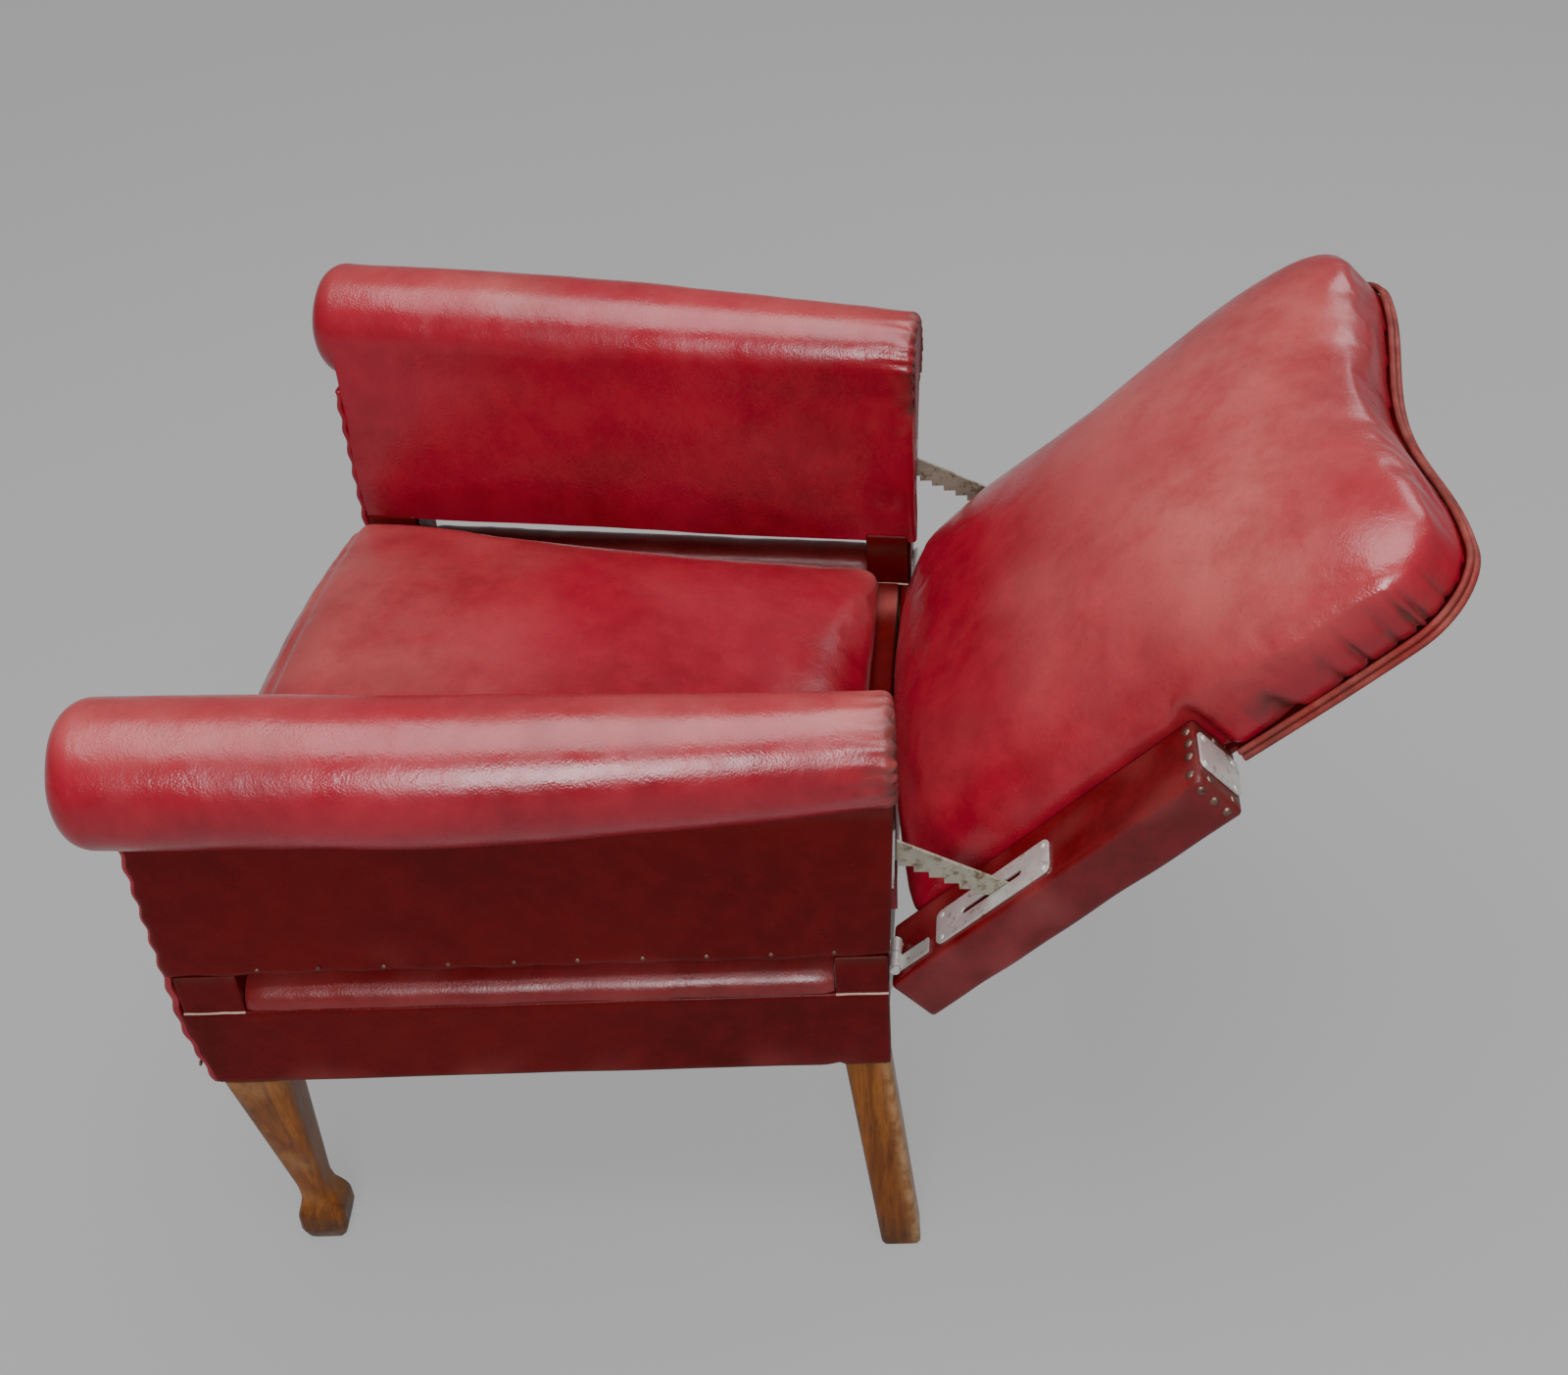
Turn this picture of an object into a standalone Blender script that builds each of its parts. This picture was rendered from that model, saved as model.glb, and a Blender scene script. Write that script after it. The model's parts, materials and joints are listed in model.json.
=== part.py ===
"""Recliner armchair: a leather chair whose back hinges at the seat and is held by a toothed bar each side.

Metres, +Z up, the chair faces -Y, and the sitter's left side is +X. The model stands on Z = 0 in its
reclined pose, with its origin at the middle of its footprint.
"""
import math

import bmesh
import bpy
from mathutils import Matrix, Vector

# Driving dimensions
OVERALL_MIDDLE_Y = 0.1954        # middle of the reclined chair, measured from the middle of an arm
ARM_LENGTH = 0.567
ARM_WIDTH = 0.055
ARM_INNER_X = 0.2552             # inner face of an arm at its rear edge
ARM_SPLAY = math.radians(4.16)   # the arms open towards the front
ARM_RAKE = math.radians(2.2)     # lean of an arm's rear edge
LEG_TOP = 0.2377
COVER_TOP = 0.3220               # top of the base covers at the posts
ARM_BOTTOM = 0.3630
ARM_TOP = 0.5300                 # where the roll sits
PANEL_TOP = 0.5080
ROLL_MIDDLE_Z = 0.5644
ROLL_RADIUS = 0.0551
ROLL_SLOPE = 0.0457              # drop of the roll towards the rear, per metre
ROLL_NOSE = 0.038                # how far the roll reaches past the front of the panel
POST_FRONT_LENGTH = 0.0506
POST_REAR_LENGTH = 0.0422
LEATHER = 0.008
GAP = 0.0004

HINGE_Y = 0.2917
HINGE_Z = 0.3341
RECLINE = math.radians(45.45)    # lean of the back from upright in the reclined pose
POST_FACE = 0.0055               # from the hinge axis back to the face of the back posts
POST_DEPTH = 0.0486
POST_INNER_X = 0.2356
POST_OUTER_X = 0.3046
POST_LOW = -0.011
POST_HIGH = 0.3057
BACK_HIGH = 0.524

BAR_X = 0.2790
BAR_THICK = 0.003
BAR_DEPTH = 0.022
BAR_LENGTH = 0.165
BAR_PIVOT_UP = 0.116
BAR_PIVOT_IN = 0.0305
BAR_ANGLE = math.radians(19.1)   # bar below the posts' square, in the reclined pose
TOOTH_COUNT, TOOTH_PITCH, TOOTH_DEPTH = 8, 0.0130, 0.0052
FIRST_TOOTH = -0.0280
SIDES = (("left", 1), ("right", -1))


def material(name, colour, roughness, metallic=0.0):
    made = bpy.data.materials.new(name)
    made.use_nodes = True
    shader = made.node_tree.nodes["Principled BSDF"]
    shader.inputs["Base Color"].default_value = (*colour, 1.0)
    shader.inputs["Roughness"].default_value = roughness
    shader.inputs["Metallic"].default_value = metallic
    made.diffuse_color = (*colour, 1.0)
    return made


def clear_scene():
    for thing in list(bpy.data.objects):
        bpy.data.objects.remove(thing, do_unlink=True)
    for group in list(bpy.data.collections):
        bpy.data.collections.remove(group)


def collection(name):
    made = bpy.data.collections.new(name)
    bpy.context.scene.collection.children.link(made)
    return made


clear_scene()
PARTS = collection("recliner_armchair")
CUTTERS = collection("cutters")
CRIMSON = material("crimson_leather", (0.30, 0.012, 0.018), 0.35)
TIMBER = material("frame_timber", (0.50, 0.33, 0.17), 0.7)
LEG_WOOD = material("leg_wood", (0.26, 0.10, 0.03), 0.4)
PLATE_STEEL = material("plate_steel", (0.62, 0.62, 0.60), 0.4, 0.9)
BAR_STEEL = material("bar_steel", (0.33, 0.31, 0.25), 0.45, 0.8)
JUTE = material("jute_webbing", (0.42, 0.31, 0.18), 0.9)
SPRING_STEEL = material("spring_steel", (0.45, 0.43, 0.40), 0.4, 1.0)


def empty(name, location, rotation=(0, 0, 0), parent=None):
    made = bpy.data.objects.new(name, None)
    made.location = location
    made.rotation_euler = rotation
    made.parent = parent
    PARTS.objects.link(made)
    return made


def place(name, mesh, finish, parent, location=(0, 0, 0), rotation=(0, 0, 0)):
    """One named object with its material, in its parent's frame."""
    made = bpy.data.objects.new(name, mesh)
    made.location = location
    made.rotation_euler = rotation
    made.parent = parent
    if finish:
        mesh.materials.clear()
        mesh.materials.append(finish)
        PARTS.objects.link(made)
    else:
        CUTTERS.objects.link(made)
        made.hide_render = True
        made.display_type = "WIRE"
    return made


def mesh_from(bm, name, smooth=None):
    bmesh.ops.recalc_face_normals(bm, faces=bm.faces)
    mesh = bpy.data.meshes.new(name)
    bm.to_mesh(mesh)
    bm.free()
    if smooth:
        mesh.shade_smooth()
        mesh.set_sharp_from_angle(angle=math.radians(smooth))
    return mesh


def block(name, low, high, finish, parent, bevel=0.0, segments=1):
    """A box between two corners given in the parent's frame."""
    low, high = Vector(low), Vector(high)
    bm = bmesh.new()
    bmesh.ops.create_cube(bm, size=1.0, matrix=Matrix.Diagonal((*(high - low), 1.0)))
    made = place(name, mesh_from(bm, name), finish, parent, (low + high) / 2)
    if bevel:
        rounding = made.modifiers.new("edges", "BEVEL")
        rounding.width = bevel
        rounding.segments = segments
    return made


def rod(name, radius, length, finish, parent, middle, sides=16):
    """A round bar along the parent's X axis."""
    bm = bmesh.new()
    bmesh.ops.create_cone(bm, cap_ends=True, segments=sides, radius1=radius, radius2=radius, depth=length)
    return place(name, mesh_from(bm, name, 40), finish, parent, middle, (0, math.radians(90), 0))


def board(name, outline, thick, finish, parent, location, rotation):
    """A flat outline of straight stretches, filled and given a thickness, as a mesh."""
    curve = bpy.data.curves.new(name, "CURVE")
    curve.dimensions = "2D"
    curve.fill_mode = "BOTH"
    curve.extrude = thick / 2
    spline = curve.splines.new("POLY")
    spline.points.add(len(outline) - 1)
    for point, (x, y) in zip(spline.points, outline):
        point.co = (x, y, 0, 1)
    spline.use_cyclic_u = True
    drawn = bpy.data.objects.new(name + "_outline", curve)
    CUTTERS.objects.link(drawn)
    bpy.context.view_layer.update()
    mesh = bpy.data.meshes.new_from_object(drawn.evaluated_get(bpy.context.evaluated_depsgraph_get()))
    bpy.data.objects.remove(drawn, do_unlink=True)
    bm = bmesh.new()
    bm.from_mesh(mesh)
    bmesh.ops.remove_doubles(bm, verts=bm.verts, dist=0.00005)
    bmesh.ops.dissolve_limit(bm, angle_limit=0.01, verts=bm.verts, edges=bm.edges)
    return place(name, mesh_from(bm, name), finish, parent, location, rotation)


def loft(name, rings, finish, parent, location=(0, 0, 0), smooth=45):
    """A closed skin over unlike sections that have the same number of points, capped at both ends."""
    bm = bmesh.new()
    rows = [[bm.verts.new(point) for point in ring] for ring in rings]
    count = len(rings[0])
    for near, far in zip(rows, rows[1:]):
        for i in range(count):
            j = (i + 1) % count
            bm.faces.new((near[i], near[j], far[j], far[i]))
    bm.faces.new(rows[0][::-1])
    bm.faces.new(rows[-1])
    return place(name, mesh_from(bm, name, smooth), finish, parent, location)


def boolean(target, tool, operation="DIFFERENCE"):
    change = target.modifiers.new(operation.lower(), "BOOLEAN")
    change.operation = operation
    change.object = tool


# Frames that the pieces are placed in
chair = empty("chair_middle", (0, -OVERALL_MIDDLE_Y, 0))
back = empty("backrest_hinge", (0, HINGE_Y, HINGE_Z), (-RECLINE, 0, 0), chair)


def arm_frame(side, s):
    """Origin at an arm's inner rear edge on the floor; X * s runs outwards and Y to the rear."""
    return empty(f"arm_frame_{side}", (s * ARM_INNER_X, ARM_LENGTH / 2, 0), (0, 0, s * ARM_SPLAY), chair)


def arm_block(name, s, low, high, finish, parent, bevel=0.0):
    """A block in an arm's frame, mirrored for the right arm."""
    xs = sorted((s * low[0], s * high[0]))
    return block(name, (xs[0], *low[1:]), (xs[1], *high[1:]), finish, parent, bevel)


# Base
def front_leg(side, s):
    """Square and tapered, with a spade foot: height, half width, and the middle's shift inwards and back."""
    levels = ((0.0, 0.0150, 1.0), (0.016, 0.0205, 1.0), (0.036, 0.0205, 1.0), (0.056, 0.0140, 1.0),
              (0.072, 0.0128, 0.95), (LEG_TOP - GAP, 0.0232, 0.0))
    rings = []
    for height, half, shift in levels:
        x = -s * 0.012 * shift
        y = 0.010 * shift
        rings.append([(x + half * a, y + half * b, height) for a, b in ((-1, -1), (1, -1), (1, 1), (-1, 1))])
    leg = loft(f"front_leg_{side}", rings, LEG_WOOD, ARMS[side], (s * 0.0300, 0.0400 - ARM_LENGTH, 0), 20)
    rounding = leg.modifiers.new("edges", "BEVEL")
    rounding.width = 0.002
    rounding.segments = 1


def rear_leg(side, s):
    """Square, raked back and a little outwards."""
    rings = []
    for height, half, back_by in ((0.0, 0.0175, 0.0240), (LEG_TOP - GAP, 0.0188, 0.0)):
        x = s * 0.010 * back_by / 0.024
        rings.append([(x + half * a, back_by + half * b, height)
                      for a, b in ((-1, -1), (1, -1), (1, 1), (-1, 1))])
    leg = loft(f"rear_leg_{side}", rings, LEG_WOOD, ARMS[side], (s * 0.0300, -0.0205, 0), 20)
    rounding = leg.modifiers.new("edges", "BEVEL")
    rounding.width = 0.002
    rounding.segments = 1


def base_rails():
    half = ARM_LENGTH / 2
    block("front_rail", (-0.3025, -half + 0.004, 0.2450), (0.3025, -half + 0.029, 0.3215), TIMBER, chair)
    block("rear_rail", (-0.2645, half - 0.037, 0.2450), (0.2645, half - 0.0110, 0.3215), TIMBER, chair)
    for side, s in SIDES:
        arm_block(f"side_rail_{side}", s, (0.0140, -ARM_LENGTH + 0.052, 0.2450), (0.0460, -0.0436, 0.3215),
                  TIMBER, ARMS[side])


def base_covers():
    """Leather over the outside of the rails, and the padded roll on each side rail under the arm."""
    half = ARM_LENGTH / 2
    block("rear_base_cover", (-0.2545, half - LEATHER, LEG_TOP), (0.2545, half - 0.0003, COVER_TOP), CRIMSON, chair,
          0.002)
    block("front_border", (-0.2920, -half - 0.006, LEG_TOP), (0.2920, -half + 0.0035, COVER_TOP), CRIMSON, chair,
          0.003)
    for side, s in SIDES:
        arm_block(f"base_side_cover_{side}", s, (ARM_WIDTH - LEATHER, -ARM_LENGTH + 0.0035, LEG_TOP),
                  (ARM_WIDTH, -0.0003, COVER_TOP), CRIMSON, ARMS[side], 0.002)
        arc = [math.radians(10 * i) for i in range(19)]
        section = [(s * (0.0295 + 0.0250 * math.cos(a)), COVER_TOP + GAP + 0.0240 * math.sin(a)) for a in arc]
        start, end = -ARM_LENGTH + POST_FRONT_LENGTH + GAP, -POST_REAR_LENGTH - GAP
        rings = [[(x, y, z) for x, z in section] for y in (start, end)]
        loft(f"side_rail_roll_{side}", rings, CRIMSON, ARMS[side])


def seat_webbing():
    """Crossed straps under the springs: a sheet of cells with the openings left out, then thickened."""
    straps, strap, half_x, low_y, high_y = 5, 0.050, 0.2500, -0.2300, 0.2300

    def lines(low, high):
        pitch = (high - low - strap) / (straps - 1)
        return [low + i * pitch + edge for i in range(straps) for edge in (0.0, strap)]

    xs, ys = lines(-half_x, half_x), lines(low_y, high_y)
    bm = bmesh.new()
    grid = [[bm.verts.new((x, y, 0)) for x in xs] for y in ys]
    for j in range(len(ys) - 1):
        for i in range(len(xs) - 1):
            if i % 2 == 0 or j % 2 == 0:
                bm.faces.new((grid[j][i], grid[j][i + 1], grid[j + 1][i + 1], grid[j + 1][i]))
    webbing = place("seat_webbing", mesh_from(bm, "seat_webbing"), JUTE, chair, (0, 0, 0.2480))
    thickness = webbing.modifiers.new("thickness", "SOLIDIFY")
    thickness.thickness = 0.003
    thickness.offset = 0.0


def seat_spring(name, x, y, low, high):
    """A waisted coil spring standing on the webbing."""
    turns, steps, wire = 4, 10, 0.0018
    curve = bpy.data.curves.new(name, "CURVE")
    curve.dimensions = "3D"
    curve.bevel_depth = wire
    curve.bevel_resolution = 1
    curve.use_fill_caps = True
    spline = curve.splines.new("POLY")
    spline.points.add(turns * steps)
    for i, point in enumerate(spline.points):
        along = i / (turns * steps)
        radius = 0.032 + 0.016 * (2 * along - 1) ** 2
        angle = 2 * math.pi * turns * along
        point.co = (radius * math.cos(angle), radius * math.sin(angle), (high - low) * along, 1)
    made = bpy.data.objects.new(name, curve)
    curve.materials.append(SPRING_STEEL)
    made.location = (x, y, low)
    made.parent = chair
    PARTS.objects.link(made)


def seat_pad():
    """Crowned pad, higher at the front, wider at the front because the arms splay."""
    bm = bmesh.new()
    bmesh.ops.create_cube(bm, size=2.0)
    bmesh.ops.subdivide_edges(bm, edges=bm.edges, cuts=5, use_grid_fill=True)
    front_y, rear_y, under = -ARM_LENGTH / 2 - 0.012, 0.2560, 0.3240
    for vert in bm.verts:
        u, t, h = vert.co
        y = rear_y + (front_y - rear_y) * (1 - t) / 2
        half = 0.2480 + (0.2835 - y) * math.tan(ARM_SPLAY)
        top = 0.3540 + 0.0290 * (1 - t) / 2
        crown = 0.040 * (1 - abs(u) ** 3) * (1 - max(-t, 0.0) ** 4) * (1 - max(t, 0.0) ** 3)
        lift = (h + 1) / 2
        inward = 1 - 0.030 * (h ** 2)
        vert.co = (u * half * inward, y, under + lift * (top + crown - under))
    pad = place("seat_pad", mesh_from(bm, "seat_pad", 60), CRIMSON, chair)
    rounding = pad.modifiers.new("edges", "BEVEL")
    rounding.width = 0.006
    rounding.segments = 1
    rounding.limit_method = "ANGLE"
    rounding.angle_limit = math.radians(40)


# Arms
def arm_posts(side, s):
    """Timber posts, full arm width where leather wraps them below the arm panel, thinner inside the arm."""
    for where, low_y, high_y in (("front", -ARM_LENGTH + 0.0040, -ARM_LENGTH + POST_FRONT_LENGTH),
                                 ("rear", -POST_REAR_LENGTH, -0.0031)):
        post = arm_block(f"arm_{where}_post_{side}", s, (0.0103, low_y, LEG_TOP), (0.0466, high_y, 0.5050),
                         TIMBER, ARMS[side])
        wide = arm_block(f"arm_{where}_wrap_{side}", s, (0.0003, low_y, COVER_TOP + GAP),
                         (0.0547, high_y, ARM_BOTTOM - GAP), None, ARMS[side])
        boolean(post, wide, "UNION")
        if where == "rear":
            slot = block(f"bar_way_{side}", (s * BAR_X - 0.0045, 0.20, 0.428), (s * BAR_X + 0.0045, 0.32, 0.496),
                         None, chair)
            boolean(post, slot)


def arm_panels(side, s):
    """Outer panel, inner pad, top rail, and the leather that closes the front and rear edges."""
    lean = math.tan(ARM_RAKE)
    top_shift = lean * (PANEL_TOP - COVER_TOP)
    bottom_shift = lean * (ARM_BOTTOM - COVER_TOP)
    outline = [(-ARM_LENGTH, ARM_BOTTOM), (bottom_shift, ARM_BOTTOM), (top_shift, PANEL_TOP),
               (-ARM_LENGTH, PANEL_TOP)]
    flat = (math.radians(90), 0, math.radians(90))
    board(f"outer_arm_panel_{side}", outline, LEATHER, CRIMSON, ARMS[side],
          (s * (ARM_WIDTH - LEATHER / 2), 0, 0), flat)
    outline = [(-ARM_LENGTH, ARM_BOTTOM), (bottom_shift, ARM_BOTTOM), (top_shift, ARM_TOP), (-ARM_LENGTH, ARM_TOP)]
    board(f"inner_arm_pad_{side}", outline, 0.0096, CRIMSON, ARMS[side], (s * 0.0051, 0, 0), flat)
    arm_block(f"arm_top_rail_{side}", s, (0.0103, -ARM_LENGTH + 0.004, 0.5054), (0.0466, -0.0035, ARM_TOP),
              TIMBER, ARMS[side])
    arm_block(f"front_facing_{side}", s, (0.0103, -ARM_LENGTH - 0.001, LEG_TOP), (0.0466, -ARM_LENGTH + 0.0036, 0.528),
              CRIMSON, ARMS[side])
    facing = [(-0.0027, LEG_TOP), (0.0, LEG_TOP), (0.0, COVER_TOP), (top_shift, PANEL_TOP), (-0.0027, PANEL_TOP)]
    strip = board(f"rear_facing_{side}", facing, 0.0358, CRIMSON, ARMS[side], (s * 0.02845, 0, 0), flat)
    slot = block(f"facing_slot_{side}", (s * BAR_X - 0.0045, 0.27, 0.431), (s * BAR_X + 0.0045, 0.32, 0.466),
                 None, chair)
    boolean(strip, slot)


def arm_roll(side, s):
    """Rounded roll with a blunt nose at the front, slimmer to the rear, notched over the arm's top."""
    nose = -ARM_LENGTH - ROLL_NOSE
    stations = ((nose, 0.62), (nose + 0.006, 0.82), (nose + 0.020, 0.95), (nose + 0.042, 1.0), (-0.30, 1.0),
                (-0.12, 1.0), (-0.006, 1.0), (0.0085, 0.90))
    rings = []
    for y, size in stations:
        along = min(max(-y / ARM_LENGTH, 0.0), 1.0)
        wide = (0.0440 + 0.0130 * along) * size
        tall = ROLL_RADIUS * size
        middle_x = 0.0012 + 0.0440 + 0.0130 * along
        middle_z = ROLL_MIDDLE_Z - ROLL_SLOPE * (y + ARM_LENGTH / 2)
        low_z = ARM_TOP + GAP + (0.004 if size < 0.9 else 0.0)
        ring = [(middle_x - wide, low_z)]
        ring += [(middle_x - wide * math.cos(a), max(middle_z + tall * math.sin(a), low_z + 0.001))
                 for a in (math.radians(18 * i) for i in range(11))]
        ring += [(middle_x + wide * math.cos(a), middle_z - tall * math.sin(a))
                 for a in (math.radians(18 * i) for i in range(1, 4))]
        ring += [(ARM_WIDTH + 0.0008, middle_z - tall * math.sin(math.radians(60))), (ARM_WIDTH + 0.0008, low_z)]
        rings.append([(s * x, y, z) for x, z in ring])
    loft(f"arm_roll_{side}", rings, CRIMSON, ARMS[side], smooth=50)


def catch_plate(side, s):
    """Slotted steel plate on the arm's rear edge, whose lower lip the ratchet teeth drop on."""
    plate = block(f"catch_plate_{side}", (-0.0130, -0.0010, -0.0300), (0.0130, 0.0010, 0.0300), PLATE_STEEL,
                  ARMS[side])
    plate.location = (s * (BAR_X - ARM_INNER_X), math.tan(ARM_RAKE) * (0.448 - COVER_TOP) + 0.0015, 0.448)
    plate.rotation_euler = (-ARM_RAKE, 0, 0)
    slot = block(f"catch_slot_{side}", (s * BAR_X - 0.0030, 0.26, 0.4335), (s * BAR_X + 0.0030, 0.32, 0.4640), None,
                 chair)
    boolean(plate, slot)


# Hinges between the arms' rear edges and the back posts
def hinge(side, s):
    pin_x, bore, wall = s * 0.2800, 0.0024, 0.0048
    pin = rod(f"hinge_pin_{side}", 0.0021, 0.0340, PLATE_STEEL, chair, (pin_x, HINGE_Y, HINGE_Z), 12)
    head = rod(f"hinge_pin_head_{side}", 0.0040, 0.0020, None, chair, (pin_x + s * 0.0175, HINGE_Y, HINGE_Z), 12)
    boolean(pin, head, "UNION")
    leaves = (("base", -0.0080, chair, (pin_x - s * 0.0080, HINGE_Y, HINGE_Z)),
              ("back", 0.0080, back, (pin_x + s * 0.0080, 0.0, 0.0)))
    for which, shift, parent, middle in leaves:
        if which == "base":
            low_y = ARM_LENGTH / 2 + 0.0028
            leaf = block(f"hinge_leaf_base_{side}", (middle[0] - 0.0075, low_y, HINGE_Z - 0.0400),
                         (middle[0] + 0.0075, low_y + 0.0020, HINGE_Z + 0.0010), PLATE_STEEL, parent)
            web = block(f"hinge_web_base_{side}", (middle[0] - 0.0075, low_y, HINGE_Z - 0.0030),
                        (middle[0] + 0.0075, HINGE_Y, HINGE_Z - 0.0005), None, parent)
        else:
            leaf = block(f"hinge_leaf_back_{side}", (middle[0] - 0.0075, POST_FACE - 0.0023, 0.0005),
                         (middle[0] + 0.0075, POST_FACE - GAP, 0.0330), PLATE_STEEL, parent)
            web = block(f"hinge_web_back_{side}", (middle[0] - 0.0075, 0.0, 0.0005),
                        (middle[0] + 0.0075, POST_FACE - GAP, 0.0030), None, parent)
        knuckle = rod(f"hinge_knuckle_{which}_{side}", wall, 0.0150, None, parent, middle)
        hole = rod(f"hinge_hole_{which}_{side}", bore, 0.0300, None, parent, middle, 12)
        boolean(leaf, web, "UNION")
        boolean(leaf, knuckle, "UNION")
        boolean(leaf, hole)


# Backrest
def back_outline(grow=0.0):
    """Half outline of the back above the posts, ears and a dip between them, mirrored: x and height."""
    side_x, ear_x, ear_z, dip_z = 0.2500 + grow, 0.1850, BACK_HIGH + grow, 0.5040 + grow
    corner, foot_z = 0.0560, 0.3140 - min(grow, 0.0)
    right = [(0.2440 + grow, foot_z), (0.2490 + grow, 0.3750), (side_x, 0.4300)]
    for i in range(1, 7):
        a = math.radians(15 * i)
        right.append((side_x - corner + corner * math.cos(a), ear_z - corner + corner * math.sin(a)))
    for i in range(1, 5):
        along = i / 5
        right.append((ear_x * (1 - along), dip_z + (ear_z - dip_z) * (1 + math.cos(math.pi * along)) / 2))
    return right + [(0.0, dip_z)] + [(-x, z) for x, z in right[::-1]]


def back_posts():
    for side, s in SIDES:
        low = (min(s * POST_INNER_X, s * POST_OUTER_X), POST_FACE, POST_LOW)
        high = (max(s * POST_INNER_X, s * POST_OUTER_X), POST_FACE + POST_DEPTH, POST_HIGH)
        post = block(f"back_post_{side}", low, high, CRIMSON, back, 0.004)
        way = block(f"mortise_{side}", (s * BAR_X - 0.0035, POST_FACE - 0.010, 0.0690),
                    (s * BAR_X + 0.0035, BAR_PIVOT_IN + 0.0160, 0.1350), None, back)
        hole = rod(f"pin_hole_{side}", 0.0033, 0.0340, None, back, (s * BAR_X, BAR_PIVOT_IN, BAR_PIVOT_UP), 12)
        boolean(post, way)
        boolean(post, hole)
        rod(f"ratchet_pin_{side}", 0.0030, 0.0330, PLATE_STEEL, back, (s * BAR_X, BAR_PIVOT_IN, BAR_PIVOT_UP), 12)


def back_frame():
    near, far = POST_FACE + 0.0180, POST_FACE + 0.0430
    reach = POST_INNER_X - GAP
    block("back_bottom_rail", (-reach, near, 0.0040), (reach, far, 0.0500), TIMBER, back)
    block("back_top_rail", (-reach, near, 0.2600), (reach, far, 0.3020), TIMBER, back)
    outline = [(x, z if z > 0.32 else 0.3024) for x, z in back_outline(-0.0150)]
    board("crest_board", outline, far - near, TIMBER, back, (0, (near + far) / 2, 0), (math.radians(90), 0, 0))


def back_cover():
    """Outside-back panel and the piping round the ears."""
    rear = POST_FACE + POST_DEPTH
    reach = POST_INNER_X - GAP
    upper = back_outline()
    outline = [(reach, 0.0)] + [(reach, upper[0][1])] + upper + [(-reach, upper[0][1]), (-reach, 0.0)]
    board("outside_back_panel", outline, 0.0050, CRIMSON, back, (0, rear - 0.0025, 0), (math.radians(90), 0, 0))
    curve = bpy.data.curves.new("back_piping", "CURVE")
    curve.dimensions = "3D"
    curve.bevel_depth = 0.0033
    curve.bevel_resolution = 1
    curve.use_fill_caps = True
    spline = curve.splines.new("POLY")
    path = back_outline(0.0040)
    spline.points.add(len(path) - 1)
    for point, (x, z) in zip(spline.points, path):
        point.co = (x, 0, z, 1)
    piping = bpy.data.objects.new("back_piping", curve)
    curve.materials.append(CRIMSON)
    piping.location = (0, rear, 0)
    piping.parent = back
    PARTS.objects.link(piping)


def pad_outline():
    """Full outline of the back pad, its narrow lower part between the posts and its ears above them."""
    reach = POST_INNER_X - 0.0012
    upper = back_outline()
    right = [(reach - 0.006, 0.0160), (reach, 0.0260), (reach, 0.1000), (reach, 0.1800), (reach, 0.2600),
             (reach, 0.3125)]
    return right + upper + [(-x, z) for x, z in right[::-1]]


def back_pad():
    """Stuffed pad: rings of its outline drawn in towards its middle as they come forward."""
    outline = pad_outline()
    middle = 0.2700
    seat_plane = POST_FACE + 0.0431
    levels = ((seat_plane, 0.0), (POST_FACE + 0.010, 0.0), (POST_FACE - 0.012, 0.010), (POST_FACE - 0.030, 0.030),
              (POST_FACE - 0.042, 0.065), (POST_FACE - 0.052, 0.120), (POST_FACE - 0.058, 0.180))
    rings = []
    for y, inward in levels:
        ring = []
        for x, z in outline:
            lumbar = 0.012 * math.exp(-((z - 0.10) / 0.09) ** 2) if y < POST_FACE else 0.0
            low_lift = 0.030 * max(0.0, 1 - z / 0.05) * (POST_FACE - y) / 0.058 if y < POST_FACE else 0.0
            ring.append((x * (1 - inward / 0.26), y - lumbar,
                         middle + (z + low_lift - middle) * (1 - inward / 0.27)))
        rings.append(ring)
    pad = loft("back_pad", rings, CRIMSON, back, smooth=60)
    clear_y = POST_FACE + 0.0176
    lower = block("pad_frame_space", (-0.30, clear_y, -0.02), (0.30, 0.10, 0.3028), None, back)
    boolean(pad, lower)
    outline = [(x, z if z > 0.32 else 0.3020) for x, z in back_outline(-0.0144)]
    crest = board("pad_crest_space", outline, 0.0400, None, back, (0, clear_y + 0.0200, 0), (math.radians(90), 0, 0))
    boolean(pad, crest)


def slot_plate(side, s):
    """Steel plate with rounded corners on the post's face; the ratchet bar comes out through its slot."""
    plate = block(f"slot_plate_{side}", (s * 0.2780 - 0.0180, POST_FACE - 0.0023, 0.0420),
                  (s * 0.2780 + 0.0180, POST_FACE - 0.0003, 0.1620), PLATE_STEEL, back)
    rounding = plate.modifiers.new("corners", "BEVEL")
    rounding.width = 0.0009
    slot = block(f"plate_slot_{side}", (s * BAR_X - 0.0035, POST_FACE - 0.02, 0.0700),
                 (s * BAR_X + 0.0035, POST_FACE + 0.01, 0.1340), None, back)
    boolean(plate, slot)


def end_plate(side, s):
    """Steel plate on the post's top end."""
    block(f"end_plate_{side}", (s * 0.2700 - 0.0190, POST_FACE + 0.0020, POST_HIGH + 0.0003),
          (s * 0.2700 + 0.0190, POST_FACE + 0.0460, POST_HIGH + 0.0023), PLATE_STEEL, back, 0.0009)


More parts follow.
